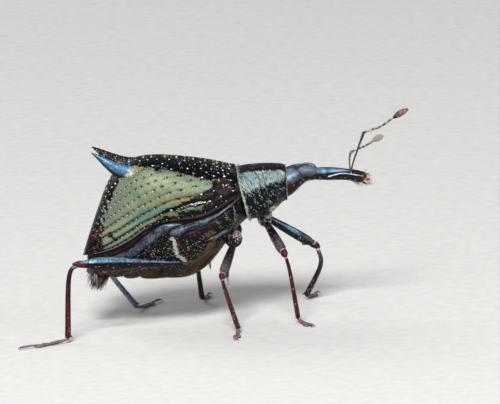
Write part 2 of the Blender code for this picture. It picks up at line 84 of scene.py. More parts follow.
straight_up = Vector((0, math.sin(LOOK_DOWN), math.cos(LOOK_DOWN)))
ahead = Vector((0, math.cos(LOOK_DOWN), -math.sin(LOOK_DOWN)))
right = Vector((1, 0, 0)) * math.cos(ROLL) - straight_up * math.sin(ROLL)
lens_up = Vector((1, 0, 0)) * math.sin(ROLL) + straight_up * math.cos(ROLL)
camera = bpy.data.objects.new("camera", bpy.data.cameras.new("camera"))
camera.data.sensor_width = SENSOR
camera.data.lens = LENS
camera.data.clip_start = NEAREST
turn = Matrix((right, lens_up, -ahead)).transposed().to_4x4()
camera.matrix_world = Matrix.Translation(AIM - ahead * FIELD * LENS / SENSOR) @ turn
bpy.context.scene.collection.objects.link(camera)
bpy.context.scene.camera = camera
bpy.context.scene.view_settings.view_transform = "Standard"

world = bpy.data.worlds.new("studio")
world.use_nodes = True
world.node_tree.nodes["Background"].inputs["Color"].default_value = ROOM_LIGHT
world.node_tree.nodes["Background"].inputs["Strength"].default_value = ROOM_STRENGTH
bpy.context.scene.world = world


def tone(red, green, blue):
    """A colour as a picture gives it, 0 to 255, as the shader's light values."""
    values = [channel / 255 for channel in (red, green, blue)]
    return (*[v / 12.92 if v < 0.04045 else ((v + 0.055) / 1.055) ** 2.4 for v in values], 1.0)


class Signal:
    """A socket of a material, so that shader sums are written as Python sums."""

    def __init__(self, tree, socket=None):
        self.tree = tree
        self.socket = socket

    def node(self, kind, settings=None, inputs=None, output=0):
        """A new node in the same material: its settings first, then its sockets."""
        made = self.tree.nodes.new("ShaderNode" + kind)
        for name, value in (settings or {}).items():
            setattr(made, name, value)
        for name, value in (inputs or {}).items():
            if isinstance(value, Signal):
                self.tree.links.new(value.socket, made.inputs[name])
            else:
                made.inputs[name].default_value = value
        return Signal(self.tree, made.outputs[output])

    def calculated(self, operation, first, second):
        return self.node("Math", {"operation": operation}, {0: first, 1: second})

    def __add__(self, other):
        return self.calculated("ADD", self, other)

    def __sub__(self, other):
        return self.calculated("SUBTRACT", self, other)

    def __rsub__(self, other):
        return self.calculated("SUBTRACT", other, self)

    def __mul__(self, other):
        return self.calculated("MULTIPLY", self, other)

    __radd__ = __add__
    __rmul__ = __mul__

    def step(self, low, high):
        """0 at low, 1 at high, and smooth between them."""
        return self.node("MapRange", {"interpolation_type": "SMOOTHSTEP"}, {0: self, 1: low, 2: high})

    def mix(self, none, full):
        """The first colour where this value is 0, the second where it is 1."""
        none, full = (tone(*colour) if isinstance(colour, tuple) else colour for colour in (none, full))
        return self.node("Mix", {"data_type": "RGBA"}, {0: self, 6: none, 7: full}, 2)

    def mottled(self, dark, light, low=0.35, high=0.65):
        """One colour below a low value, another above a high one, and a blend between."""
        return self.step(low, high).mix(dark, light)


def layered(colour, *layers):
    """A colour with others laid over it in turn, each as thick as its mask says."""
    for mask, over in layers:
        colour = mask.mix(colour, over)
    return colour


def new_look(name, marks="", **constants):
    """A material with its plain values set, the spot on the piece in millimetres, and a
    signal for each mark that is stored on the points of the piece."""
    look = bpy.data.materials.new(name)
    look.use_nodes = True
    shader = look.node_tree.nodes["Principled BSDF"]
    for key, value in constants.items():
        shader.inputs[key.replace("_", " ").title().replace("Ior", "IOR")].default_value = value
    start = Signal(look.node_tree)
    place = start.node("TexCoord", output=3)
    spot = start.node("VectorMath", {"operation": "SCALE"}, {0: place, "Scale": 1 / MM})
    shades = [start.node("Attribute", {"attribute_name": mark}, output=2) for mark in marks.split()]
    return look, spot, *shades


def noise(spot, scale, detail=3.0, roughness=0.5):
    grain = {"Vector": spot, "Scale": scale, "Detail": detail, "Roughness": roughness}
    return spot.node("TexNoise", None, grain)


def cells(spot, scale):
    """How far each spot is from the middle of its cell."""
    return spot.node("TexVoronoi", {"feature": "F1"}, {"Vector": spot, "Scale": scale})


def wear(look, height=None, rise=0.01, **sockets):
    """Joins what varies over the surface to the shader, and a height in millimetres to its bump."""
    shader = look.node_tree.nodes["Principled BSDF"]
    if height is not None:
        bump = height.node("Bump", None, {"Strength": 1.0, "Distance": rise * MM, "Height": height})
        look.node_tree.links.new(bump.socket, shader.inputs["Normal"])
    for name, signal in sockets.items():
        look.node_tree.links.new(signal.socket, shader.inputs[name.replace("_", " ").title()])


bm = bmesh.new()
bmesh.ops.create_circle(bm, cap_ends=True, segments=96, radius=FLOOR_RADIUS)
mesh = bpy.data.meshes.new("floor")
bm.to_mesh(mesh)
bm.free()
floor = bpy.data.objects.new("floor", mesh)
bpy.context.scene.collection.objects.link(floor)
floor_look, spot = new_look("floor_card", roughness=0.85)
wear(floor_look, base_color=noise(spot, 3.0, 4.0).mottled((206, 205, 202), (212, 211, 208)))
mesh.materials.append(floor_look)

# Wing cases

# The two wing cases are hard, arched shells of black cuticle that meet along the back, each
# with ten rows of pits, a shoulder knob and a backward thorn. A pale green metallic patch
# covers their sides. Each sits on the body's edge, a hair's breadth from its twin.

BODY_PITCH = math.radians(4.0)
GAP = 0.012  # between the two cases
# The back as (x, z) and the margin as (x, y, z), both from the base to the tip.
BACK_LINE = [
    (0.445, 4.28), (-0.50, 4.48), (-1.70, 4.59), (-2.40, 4.50), (-2.86, 4.20),
    (-3.14, 3.76), (-3.37, 3.14), (-3.60, 2.45), (-3.80, 1.80),
]
MARGIN_LINE = [
    (0.55, 1.24, 3.70), (-0.40, 1.36, 3.14), (-1.45, 1.30, 2.96), (-2.05, 1.22, 2.74),
    (-2.45, 1.12, 2.44), (-2.85, 0.97, 2.18), (-3.22, 0.74, 2.01), (-3.52, 0.47, 1.90),
    (-3.77, 0.06, 1.78),
]
SHELL_POWER = 2.6  # squareness of the arch
SHELL_LENGTH = 4.9
SHELL_GIRTH = 2.2  # from the suture to the margin
SHELL_THICK = 0.12
SHELL_ROWS = 330
OUTER_COLUMNS = 170
INNER_COLUMNS = 14
# Where each stria runs, as a share of the girth, at eleven places from the base to the tip.
STRIAE = [
    (0.035, 0.035, 0.04, 0.05, 0.055, 0.055, 0.055, 0.055, 0.06, 0.065, 0.07),
    (0.11, 0.12, 0.15, 0.175, 0.18, 0.18, 0.175, 0.168, 0.165, 0.165, 0.17),
    (0.20, 0.215, 0.265, 0.36, 0.398, 0.375, 0.335, 0.30, 0.285, 0.275, 0.27),
    (0.30, 0.315, 0.385, 0.48, 0.51, 0.515, 0.475, 0.44, 0.41, 0.395, 0.39),
    (0.39, 0.40, 0.49, 0.575, 0.60, 0.60, 0.57, 0.53, 0.50, 0.485, 0.48),
    (0.47, 0.475, 0.58, 0.665, 0.69, 0.685, 0.665, 0.62, 0.59, 0.58, 0.58),
    (0.56, 0.58, 0.675, 0.757, 0.778, 0.768, 0.752, 0.724, 0.69, 0.68, 0.68),
    (0.68, 0.705, 0.765, 0.838, 0.86, 0.853, 0.845, 0.808, 0.785, 0.78, 0.78),
    (0.80, 0.83, 0.87, 0.92, 0.932, 0.925, 0.92, 0.93, 0.915, 0.90, 0.90),
    (0.93, 0.95, 0.97, 0.978, 0.98, 0.98, 0.98, 0.98, 0.975, 0.97, 0.97),
]
FURROWS = [0.003, 0.003, 0.003, 0.003, 0.004, 0.007, 0.018, 0.032, 0.042, 0.030]  # depths
FURROW_WIDTH = 0.03  # from the middle of a furrow to where it is shallow
LATE_FURROWS = (5, 6)  # striae that are smooth near the base
PITS = 24  # along each stria
PIT_DEPTH = 0.022
PIT_RADII = (0.034, 0.028)
CROWN = 0.042  # how far the ribs over the margin stand up
# The green patch and the green strip on the lowest rib, as (share of length, share of girth).
GREEN_PATCH = [
    (0.092, 0.538), (0.135, 0.515), (0.162, 0.492), (0.19, 0.46), (0.218, 0.422), (0.25, 0.41),
    (0.308, 0.365), (0.342, 0.305), (0.415, 0.20), (0.455, 0.25), (0.488, 0.338), (0.505, 0.41),
    (0.578, 0.448), (0.64, 0.49), (0.685, 0.482), (0.708, 0.56), (0.73, 0.64), (0.735, 0.755),
    (0.77, 0.80), (0.765, 0.87), (0.73, 0.92), (0.60, 0.92), (0.5, 0.925), (0.4, 0.932),
    (0.3, 0.92), (0.235, 0.868), (0.2, 0.825), (0.17, 0.778), (0.148, 0.735), (0.12, 0.692),
    (0.095, 0.652),
]
GREEN_STRIP = [
    (0.13, 0.862), (0.2, 0.88), (0.3, 0.915), (0.5, 0.915), (0.7, 0.925), (0.745, 0.95),
    (0.72, 0.985), (0.6, 0.99), (0.45, 0.985), (0.345, 0.976), (0.282, 0.955), (0.22, 0.935),
    (0.195, 0.915),
]
RIB_BAR = [(0.672, 0.835), (0.655, 0.82), (0.605, 0.925), (0.624, 0.94)]  # a black bar on a rib
KNOB = (0.12, 1.20, 3.93)  # on the shoulder
KNOB_RADIUS = 0.34
KNOB_HEIGHT = 0.17
THORN_ROOT = (0.42, 0.26)  # share of length, share of girth
THORN_REACH = 0.36  # radius of the shell that rises into the thorn
THORN_START = 0.10  # share of that reach at which the thorn's axis starts
THORN_SKIRT = 0.30  # and at which the shell has wholly become the thorn
THORN_AXIS = [
    (-2.63, 0.50, 4.23), (-2.88, 0.50, 4.34), (-3.10, 0.50, 4.47), (-3.35, 0.49, 4.64),
    (-3.58, 0.47, 4.77),
]
THORN_GIRTHS = [0.235, 0.20, 0.145, 0.072, 0.010]  # its half width along that axis
BLUNT_END = 0.012  # share of the length over which the wall thins at either end
HEM = (0.014, 0.995, 0.03)  # height, share of girth and width of the rolled lower edge
# Ribs between striae, and how much each is raised.
RIBS = ((4, 5, 0.2), (5, 6, 0.45), (6, 7, 0.8), (7, 8, 1.0), (8, 9, 0.8))


def through(keys, places):
    """Rows of numbers at the places, 0 to 1, along a smooth curve through the key rows."""
    keys = np.asarray(keys, float)
    padded = np.vstack([2 * keys[0] - keys[1], keys, 2 * keys[-1] - keys[-2]])
    position = np.clip(places, 0, 1) * (len(keys) - 1)
    step = np.minimum(position.astype(int), len(keys) - 2)
    t = (position - step)[..., None]
    a, b, c, d = (padded[step + k] for k in range(4))
    bend = (2 * a - 5 * b + 4 * c - d) * t**2 + (3 * b - a - 3 * c + d) * t**3
    return 0.5 * (2 * b + (c - a) * t + bend)


def arch(power, places):
    """A quarter of a superellipse as (across, down) at shares of its length."""
    angles = np.linspace(0, math.pi / 2, 257)
    across = np.sin(angles) ** (2 / power)
    down = 1 - np.abs(np.cos(angles)) ** (2 / power)
    length = np.concatenate([[0], np.cumsum(np.hypot(np.diff(across), np.diff(down)))])
    return (
        np.interp(places, length / length[-1], across),
        np.interp(places, length / length[-1], down),
    )


def unit(vectors):
    return vectors / (np.linalg.norm(vectors, axis=-1, keepdims=True) + 1e-12)


def ramp(values, low, high):
    """0 at low, 1 at high, and smooth between them."""
    share = np.clip((values - low) / (high - low), 0, 1)
    return share * share * (3 - 2 * share)


def shell_at(s, t):
    """The left wing case's outer surface at shares of its length and girth."""
    back, margin = through(BACK_LINE, s), through(MARGIN_LINE, s)
    across, down = arch(SHELL_POWER, t)
    return np.stack([
        back[..., 0] + (margin[..., 0] - back[..., 0]) * down,
        margin[..., 1] * across,
        back[..., 1] + (margin[..., 2] - back[..., 1]) * down,
    ], axis=-1)


def facing(points):
    """The direction that each point of a grid of points faces, rows running backwards."""
    return unit(np.cross(np.gradient(points, axis=1), np.gradient(points, axis=0)))


def inside(outline, s, t, scale=(SHELL_LENGTH, SHELL_GIRTH)):
    """Millimetres inside an outline drawn on a skin of that size, less than 0 outside it."""
    scale = np.array(scale)
    corners = np.array(outline) * scale
    spots = np.stack([s, t], axis=-1) * scale
    nearest = np.full(s.shape, 1e9)
    within = np.zeros(s.shape, bool)
    for start, end in zip(corners, np.roll(corners, -1, axis=0)):
        along = end - start
        share = np.clip(((spots - start) @ along) / (along @ along), 0, 1)
        gap = np.linalg.norm(spots - start - share[..., None] * along, axis=-1)
        nearest = np.minimum(nearest, gap)
        crosses = (start[1] > spots[..., 1]) != (end[1] > spots[..., 1])
        reach = start[0] + (spots[..., 1] - start[1]) / (along[1] + 1e-12) * along[0]
        within ^= crosses & (spots[..., 0] < reach)
    return np.where(within, nearest, -nearest)


def sheet(rows, columns):
    """A flat grid of faces, and the row and column of each of its points."""
    bm = bmesh.new()
    bmesh.ops.create_grid(bm, x_segments=rows, y_segments=columns, size=0.5)
    places = np.array([vert.co for vert in bm.verts]) + 0.5
    return bm, np.rint(places[:, 0] * rows).astype(int), np.rint(places[:, 1] * columns).astype(int)


def skin(points, marks=None):
    """A closed skin over rings of points, each ring ending where it starts."""
    bm, row, column = sheet(points.shape[0] - 1, points.shape[1] - 1)
    for vert, place in zip(bm.verts, points[row, column]):
        vert.co = place
    for name, values in (marks or {}).items():
        layer = bm.verts.layers.float.new(name)
        for vert, value in zip(bm.verts, values[row, column]):
            vert[layer] = value
    bmesh.ops.remove_doubles(bm, verts=bm.verts, dist=1e-5)
    bmesh.ops.recalc_face_normals(bm, faces=bm.faces)
    return bm


def set_in_frame(name, mesh, look, nodes, level=True):
    """Leans a mesh with the body, brings it to metres and sets it in the frame."""
    if level:
        mesh.transform(Matrix.Rotation(BODY_PITCH, 4, "Y"))
    mesh.transform(Matrix.Scale(MM, 4))
    mesh.shade_smooth()
    mesh.materials.append(look)
    obj = bpy.data.objects.new(name, mesh)
    bpy.context.scene.collection.objects.link(obj)
    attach(obj, "root")
    if nodes:
        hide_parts(*nodes)
    return obj


def piece(name, bm, look, nodes, level=True):
    """Finishes a piece that stands for some of the solids."""
    mesh = bpy.data.meshes.new(name)
    bm.to_mesh(mesh)
    bm.free()
    return set_in_frame(name, mesh, look, nodes, level)


def stria_at(index, s):
    return through(np.array(STRIAE[index])[:, None], s)[..., 0]


pit_places = [
    (np.arange(PITS) + 0.5 + rng.uniform(-0.12, 0.12, PITS) + 0.5 * (k % 2)) / PITS
    for k in range(len(STRIAE))
]


def relief(s, t):
    """Height of the furrows, pits and ribs at places on the shell, and the share of each."""
    height, crown, furrow, pit = np.zeros((4, *s.shape))
    deepen = 0.4 + 0.6 * ramp(s, 0.0, 0.3)
    later = 0.1 + 0.9 * ramp(s, 0.25, 0.6)
    fade = ramp(s, 0.0, 0.03) * ramp(1 - s, 0.0, 0.05)
    for k, places in enumerate(pit_places):
        aside = (t - stria_at(k, s)) * SHELL_GIRTH
        groove = np.exp(-((aside / FURROW_WIDTH) ** 2))
        depth = FURROWS[k] * (later if k in LATE_FURROWS else deepen)
        furrow = np.maximum(furrow, groove * depth / max(FURROWS))
        height -= groove * depth
        nearest = places[np.clip((s * PITS - 0.5 * (k % 2)).astype(int), 0, PITS - 1)]
        along = (s - nearest) * SHELL_LENGTH
        hole = np.exp(-((along / PIT_RADII[0]) ** 2) - ((aside / PIT_RADII[1]) ** 2))
        pit = np.maximum(pit, hole)
    height -= pit * PIT_DEPTH
    for low, high, share in RIBS:
        middle = (stria_at(low, s) + stria_at(high, s)) / 2
        half = (stria_at(high, s) - stria_at(low, s)) / 2
        crown += share * later * np.maximum(0, 1 - ((t - middle) / half) ** 2)
    return (height + CROWN * crown) * fade, furrow, pit, crown


thorn_root = shell_at(*np.array(THORN_ROOT))


def thorn(points):
    """Draws the shell round the thorn's root out along its axis.

    Gives the new points, how far along the thorn each is, and how much it faces outwards."""
    away = points - thorn_root
    reach = np.linalg.norm(away, axis=-1)
    near = np.clip(1 - reach / THORN_REACH, 0, 1)
    along = np.clip((near - THORN_START) / (1 - THORN_START), 0, 1)
    axis = through(THORN_AXIS, along)
    girth = through(np.array(THORN_GIRTHS)[:, None], along)
    ahead_of, behind = (through(THORN_AXIS, np.clip(along + step, 0, 1)) for step in (0.03, -0.03))
    heading = unit(ahead_of - behind)
    level = unit(away - np.sum(away * heading, axis=-1, keepdims=True) * heading)
    drawn = axis + level * girth
    share = ramp(near, 0.0, THORN_SKIRT)[..., None]
    # How much the thorn faces outwards, neither up nor far down. The colour puts the blue only there,
    # partly the thorn's own blue and partly a painted sheen; its top and underside stay dark.
    outward_side = ramp(0.9 * level[..., 1] - 0.55 * level[..., 2], -0.22, 0.28)
    outward_side = outward_side * ramp(level[..., 2], -0.50, -0.14)
    return np.where(near[..., None] > 0, points + (drawn - points) * share, points), near, outward_side


s_line = np.linspace(0, 1, SHELL_ROWS + 1)
t_line = np.linspace(0, 1, OUTER_COLUMNS + 1)
s_grid, t_grid = np.meshgrid(s_line, t_line, indexing="ij")
smooth_shell = shell_at(s_grid, t_grid)
outward = facing(smooth_shell)
height, furrow, pit, crown = relief(s_grid, t_grid)
knob_gap = np.linalg.norm(smooth_shell - np.array(KNOB), axis=-1)
knob = np.clip(1 - (knob_gap / KNOB_RADIUS) ** 2, 0, 1) ** 2
near_thorn = np.linalg.norm(smooth_shell - thorn_root, axis=-1)
height = height * ramp(near_thorn, 0.15, 0.42) * (1 - 0.7 * knob) + KNOB_HEIGHT * knob
height += HEM[0] * np.exp(-(((t_grid - HEM[1]) * SHELL_GIRTH / HEM[2]) ** 2))
outer = smooth_shell + outward * height[..., None]
outer, spike, thorn_side = thorn(outer)
core = (through(MARGIN_LINE, s_line) * np.array([1, 0, 1]))[:, None, :]
t_inner = np.linspace(1, 0, INNER_COLUMNS + 1)
s_in, t_in = np.meshgrid(s_line, t_inner, indexing="ij")
under = shell_at(s_in, t_in)
reach = np.linalg.norm(core - under, axis=-1, keepdims=True)
blunt = np.sqrt(np.clip(np.minimum(s_in, 1 - s_in) / BLUNT_END, 0, 1))[..., None]
under = under + (core - under) / (reach + 1e-9) * np.minimum(SHELL_THICK, 0.5 * reach) * blunt
ring = np.concatenate([outer, under, outer[:, :1]], axis=1)
ring[..., 1] += GAP / 2
patch = np.maximum(inside(GREEN_PATCH, s_grid, t_grid), inside(GREEN_STRIP, s_grid, t_grid))
bar = ramp(inside(RIB_BAR, s_grid, t_grid), -0.02, 0.02)


shell_marks = {
    name: np.concatenate([values, np.full((len(values), INNER_COLUMNS + 1), under_it), values[:, :1]], axis=1)
    for name, values, under_it in (
        ("patch", patch, -1.0), ("furrow", furrow, 0.0), ("pit", pit, 0.0), ("spike", spike, 0.0),
        ("thorn_side", thorn_side, 0.0), ("knob", knob, 0.0), ("crown", crown, 0.0), ("bar", bar, 0.0),
        ("along", s_grid, 0.5), ("across", t_grid, 0.5),
    )
}
shell_look, spot, *signals = new_look(
    "green_and_black_wing_case", " ".join(shell_marks), specular_ior_level=0.08, coat_roughness=0.12
)
case = dict(zip(shell_marks, signals))
along, across = case["along"], case["across"]


def blot(place, weights, edge=0.2):
    """1 in an oval round a place on the shell, and 0 outside it."""
    ahead_of, aside = along - place[0], across - place[1]
    return (ahead_of * ahead_of * weights[0] + aside * aside * weights[1]).step(1.0, edge)


blotch = noise(spot, 2.2)
fine = noise(spot, 14.0, 4.0)
speckle = noise(spot, 60.0, 2.0)
border_noise = noise(spot, 13.0, 5.0, 0.7)
rear_noise = noise(spot, 6.0, 5.0, 0.7)
# The patch has ragged edges: at its rear, under the front of it and along the lowest rib.
ragged_rear = along.step(0.52, 0.66) * across.step(0.90, 0.84)
ragged_front = across.step(0.62, 0.50) * along.step(0.50, 0.42)
ragged_strip = across.step(0.85, 0.87) * along.step(0.32, 0.20)
green_here = (
    case["patch"] + (border_noise - 0.5) * 0.2
    + (rear_noise - 0.5) * (ragged_rear * 2.3 + ragged_front * 0.7 + ragged_strip * 0.9)
    - case["pit"] * (ragged_front * 0.12 + ragged_rear * 0.08)
).step(-0.012, 0.03)
near_rear = case["patch"].step(0.34, 0.02) * ragged_rear
rib_tan = across.step(0.72, 0.78) * across.step(0.87, 0.82) * along.step(0.42, 0.20)
warm_rib = across.step(0.71, 0.76) * across.step(0.86, 0.81) * along.step(0.46, 0.54)
turquoise = across.step(0.80, 0.86) * across.step(0.93, 0.88) * along.step(0.58, 0.38)
gilded = fine.mottled((142, 122, 86), (184, 168, 124), 0.40, 0.62)
sage = layered(
    blotch.mottled((94, 108, 90), (122, 130, 108)),
    (rib_tan * 0.75, (132, 124, 76)),
    (blot((0.16, 0.76), (250.0, 220.0), 0.0) * 0.9, (150, 104, 70)),
    # Painted shade: the front of the patch is made darker.
    (along.step(0.36, 0.12) * 0.5, (82, 98, 80)),
    (along.step(0.40, 0.60) * 0.45, (116, 128, 126)),
    (blot((0.39, 0.335), (220.0, 110.0)) * 0.75, gilded),
    (near_rear * fine.step(0.46, 0.52) * 0.9, (156, 150, 152)),
    (near_rear * border_noise.step(0.46, 0.41) * 0.9, (22, 18, 20)),
    (fine.step(0.42, 0.60) * 0.35, (142, 146, 112)),
    (border_noise.step(0.46, 0.40) * 0.30, (68, 82, 70)),
    (warm_rib * 0.4, (146, 132, 96)),
    (turquoise * 0.75, (74, 116, 112)),
    # Painted highlight: the tops of the raised ribs are made lighter.
    (case["crown"].step(0.25, 0.8) * 0.5, (144, 160, 132)),
    (across.step(0.87, 0.90) * along.step(0.36, 0.26) * 0.7, (92, 92, 60)),
    # Painted shade: the furrows are made darker.
    (case["furrow"] * 0.75, (40, 54, 42)),
    (speckle.step(0.62, 0.80) * 0.7, (190, 190, 160)),
    (speckle.step(0.40, 0.26) * 0.5, (60, 72, 62)),
)
rear = along.step(0.66, 0.80) * across.step(0.42, 0.66)
below_knob = along.step(0.18, 0.13) * along.step(0.02, 0.06)
below_knob = below_knob * across.step(0.62, 0.68) * across.step(0.96, 0.90)
black = layered(
    fine.mottled((5, 4, 7), (17, 12, 20), 0.40, 0.70),
    (rear * rear_noise.step(0.42, 0.56), (52, 29, 27)),
    (rear * border_noise.step(0.58, 0.66), (158, 104, 74)),
    (below_knob * border_noise.step(0.52, 0.60) * 0.55, (70, 50, 36)),
    (below_knob * speckle.step(0.62, 0.72) * 0.8, (96, 116, 92)),
    (across.step(0.86, 0.95) * along.step(0.45, 0.20) * 0.6, (26, 18, 18)),
    # Painted highlight: a thin pale line along the rim above the rolled lower edge.
    (across.step(0.984, 0.992) * along.step(0.32, 0.42) * 0.8, (104, 102, 106)),
    (case["knob"] * 0.8, (46, 14, 14)),
)
sky = layered(
    fine.mottled((50, 78, 108), (104, 134, 164)),
    (border_noise.step(0.44, 0.56) * 0.65, (46, 114, 142)),
    (case["spike"].step(0.30, 0.50) * fine.step(0.55, 0.70), (70, 170, 190)),
    (case["spike"].step(0.62, 0.92) * 0.6, (26, 38, 56)),
)
dark_thorn = fine.mottled((14, 12, 18), (60, 52, 62), 0.40, 0.70)
spike_here = case["spike"].step(0.07, 0.17)
spike_blue = spike_here * case["thorn_side"]
thorn_foot = blot((0.400, 0.408), (1300.0, 800.0)) * case["spike"].step(0.20, 0.08)
wear(
    shell_look, height=fine * 0.5 + speckle * 0.5, rise=0.008,
    base_color=layered(
        green_here.mix(black, sage),
        # Painted shade: the pits are coloured nearly black.
        (case["pit"].step(0.20, 0.65) * 0.9, (8, 10, 8)),
        (case["bar"].step(0.3, 0.6) * 0.85, (12, 18, 16)),
        # The thorn: blue on its outward side, partly its own colour and partly a painted sheen.
        (spike_here, case["thorn_side"].mix(dark_thorn, sky)),
        (thorn_foot * 0.85, fine.mottled((150, 136, 106), (228, 220, 186), 0.36, 0.60)),
    ),
    metallic=green_here * 0.35 + spike_blue * (1 - green_here) * 0.5,
    roughness=0.34 + green_here * 0.16 + (speckle - 0.5) * 0.2,
    coat_weight=case["knob"].step(0.1, 0.5) * 0.8 + spike_blue * 0.3,
)

left_case = skin(ring, shell_marks)
right_case = left_case.copy()
bmesh.ops.scale(right_case, vec=(1, -1, 1), verts=right_case.verts)
bmesh.ops.reverse_faces(right_case, faces=right_case.faces)
piece("wing_case_left", left_case, shell_look, ["elytron_left"])
piece("wing_case_right", right_case, shell_look, ["elytron_right"])

# Scales of the wing cases

# Nearly every pit of a wing case holds one small pearly scale, and finer ones are dusted over
# the black border and the thorn. Each is a flat flake of cuticle rooted in the shell.

TUFT_SHARE = 0.003  # a tuft's share of the unwrap of its skin
SCALE_RISE = 0.012  # how far over the skin the scales of the pits sit
GREEN_WIDTH, BLACK_WIDTH = 0.027, 0.050  # of the scales of the pits
# The row over the lowest rib is crowded near the shoulder, in a zigzag.
CROWDED_ROW = [
    (0.105, 0.838), (0.128, 0.822), (0.14, 0.82), (0.155, 0.828), (0.17, 0.835), (0.19, 0.86),
    (0.208, 0.882),
]
CROWD = 26
ZIGZAG = 0.006


def flake():
    """One scale along +X, a bead that is flattened when it is sized."""
    bm = bmesh.new()
    place = Matrix.Translation((0.5, 0, 0))
    bmesh.ops.create_icosphere(bm, subdivisions=1, radius=0.5, matrix=place)
    return bm


def coat(name, shape, roots, sizes, look, lift=0.3, bend=0.0, level=True):
    """One mesh of many hairs or scales, each a copy of the shape, bent and set on its root."""
    spot, face, way, unwrap = roots
    count = len(spot)
    base = np.array([vert.co for vert in shape.verts])
    mesh = bpy.data.meshes.new(name)
    shape.to_mesh(mesh)
    while len(shape.verts) < count * len(base):
        shape.from_mesh(mesh)
        shape.to_mesh(mesh)
    shape.verts.ensure_lookup_table()
    bmesh.ops.delete(shape, geom=shape.verts[count * len(base):], context="VERTS")
    shape.to_mesh(mesh)
    shape.free()
    tuft = np.repeat(np.arange(count), len(base))
    local = np.tile(base, (count, 1))
    sizes = np.broadcast_to(np.asarray(sizes, float), (count, 3))[tuft]
    face, way = face[tuft], way[tuft]
    raised = unit(way + face * lift)
    side = unit(np.cross(face, way))
    over = np.cross(raised, side)
    sized = local * sizes
    places = spot[tuft] + raised * sized[:, :1] + side * sized[:, 1:2] + over * sized[:, 2:]
    places -= face * bend * local[:, :1] ** 2 * sizes[:, :1]
    mesh.vertices.foreach_set("co", places.ravel())
    tint = mesh.attributes.new("tint", "FLOAT", "POINT")
    tint.data.foreach_set("value", rng.uniform(size=count)[tuft])
    corners = np.zeros(len(mesh.loops), int)
    mesh.loops.foreach_get("vertex_index", corners)
    flat = unwrap[tuft] + (local[:, :2] - np.array([0.5, 0.0])) * TUFT_SHARE
    layer = mesh.uv_layers.new(name="OFBake")
    layer.data.foreach_set("uv", flat[corners].ravel())
    return set_in_frame(name, mesh, look, [], level)


def strew(points, density, count):
    """Random roots on a grid of points, thickest where the density is high: where each is,
    the way it faces, the way its hair lies, and its place on the unwrap."""
    here, ahead_of, beside, across = points[:-1, :-1], points[1:, :-1], points[:-1, 1:], points[1:, 1:]
    area = np.linalg.norm(np.cross(ahead_of - here, beside - here), axis=-1)
    chance = (area * density[:-1, :-1]).ravel()
    chosen = rng.choice(chance.size, count, p=chance / chance.sum())
    row, column = np.unravel_index(chosen, area.shape)
    a, b = rng.uniform(size=(2, count))
    share = [(1 - a) * (1 - b), a * (1 - b), (1 - a) * b, a * b]
    corners = [grid[row, column] for grid in (here, ahead_of, beside, across)]
    spot = sum(part[:, None] * corner for part, corner in zip(share, corners))
    way = unit(corners[1] - corners[0])
    face = unit(np.cross(corners[2] - corners[0], way))
    inward = np.sum(face * (spot - points[row].mean(axis=1)), axis=-1) < 0
    face[inward] *= -1
    unwrap = np.stack([(row + a) / area.shape[0], (column + b) / area.shape[1]], axis=-1)
    return spot, face, way, unwrap


def both_sides(roots):
    """Roots on the left and their mirror images on the right, side by side on the unwrap."""
    flip = np.array([1, -1, 1])
    left = roots[3] * np.array([0.48, 1.0])
    mirrored = [np.concatenate([part, part * flip]) for part in roots[:3]]
    return *mirrored, np.concatenate([left, left + np.array([0.52, 0.0])])


def grown(base, spread, count):
    """Sizes (length, width, thickness) around a usual one."""
    return np.array(base) * rng.uniform(1 - spread, 1 + spread, (count, 1))


def tinted_look(name, dull, bright, glint=None, steps=((0.0, 0.7), (0.86, 1.0)),
                roughness=0.4, shine=0.4, metal=None):
    """A look for tufts, whose own tints pick a shade between two; a few of the brightest get a painted
    highlight colour.
    """
    look, spot, tint = new_look(name, "tint", specular_ior_level=shine)
    if glint:
        colour = tint.step(*steps[1]).mix(tint.step(*steps[0]).mix(dull, bright), glint)
    else:
        colour = tint.mix(dull, bright)
    wear(look, base_color=colour, roughness=roughness + tint * 0.2)
    if metal:
        wear(look, metallic=metal - tint * 0.15)
    return look


pearl_look = tinted_look("pearly_scales", (186, 196, 190), (246, 248, 238), roughness=0.35, shine=0.5)
rearward = unit(np.gradient(smooth_shell, axis=0))
shell_shift = np.array([0, GAP / 2, 0])


def on_shell(row, column, unwrap):
    """Roots at rows and columns of the left wing case's grid, mirrored to the right."""
    face = outward[row, column]
    spot = outer[row, column] + face * SCALE_RISE + shell_shift
    return both_sides((spot, face, rearward[row, column], unwrap))


def strewn_on_shell(density, count, rise=0.0):
    """Random roots on the left wing case, mirrored to the right."""
    spot, face, way, unwrap = strew(outer, density, count)
    return both_sides((spot + face * rise + shell_shift, face, way, unwrap))


s_pit = np.concatenate(pit_places)
t_pit = np.concatenate([stria_at(k, places) for k, places in enumerate(pit_places)])
stria_of = np.repeat(np.arange(len(STRIAE)), PITS)
row = np.clip(np.rint(s_pit * SHELL_ROWS).astype(int), 1, SHELL_ROWS - 1)
column = np.clip(np.rint(t_pit * OUTER_COLUMNS).astype(int), 1, OUTER_COLUMNS - 1)
on_green = patch[row, column] > 0.0
column = np.where(on_green, np.minimum(column + 1, OUTER_COLUMNS - 1), column)
scaly = (spike[row, column] <= 0.05) & (s_pit <= 0.985)
row, column, on_green, stria_of = row[scaly], column[scaly], on_green[scaly], stria_of[scaly]
s_pit = row / SHELL_ROWS
widths = np.where(on_green, GREEN_WIDTH, BLACK_WIDTH) * rng.uniform(0.75, 1.25, len(row))
widths *= np.where(stria_of == len(STRIAE) - 1, 0.45, 1.0) * (1 - 0.45 * ramp(s_pit, 0.60, 0.72))
coat(
    "pit_scales", flake(), on_shell(row, column, np.stack([s_pit, column / OUTER_COLUMNS], axis=-1)),
    np.tile(np.stack([widths * 1.35, widths, widths * 0.45], axis=-1), (2, 1)),
    pearl_look, lift=0.15,
)

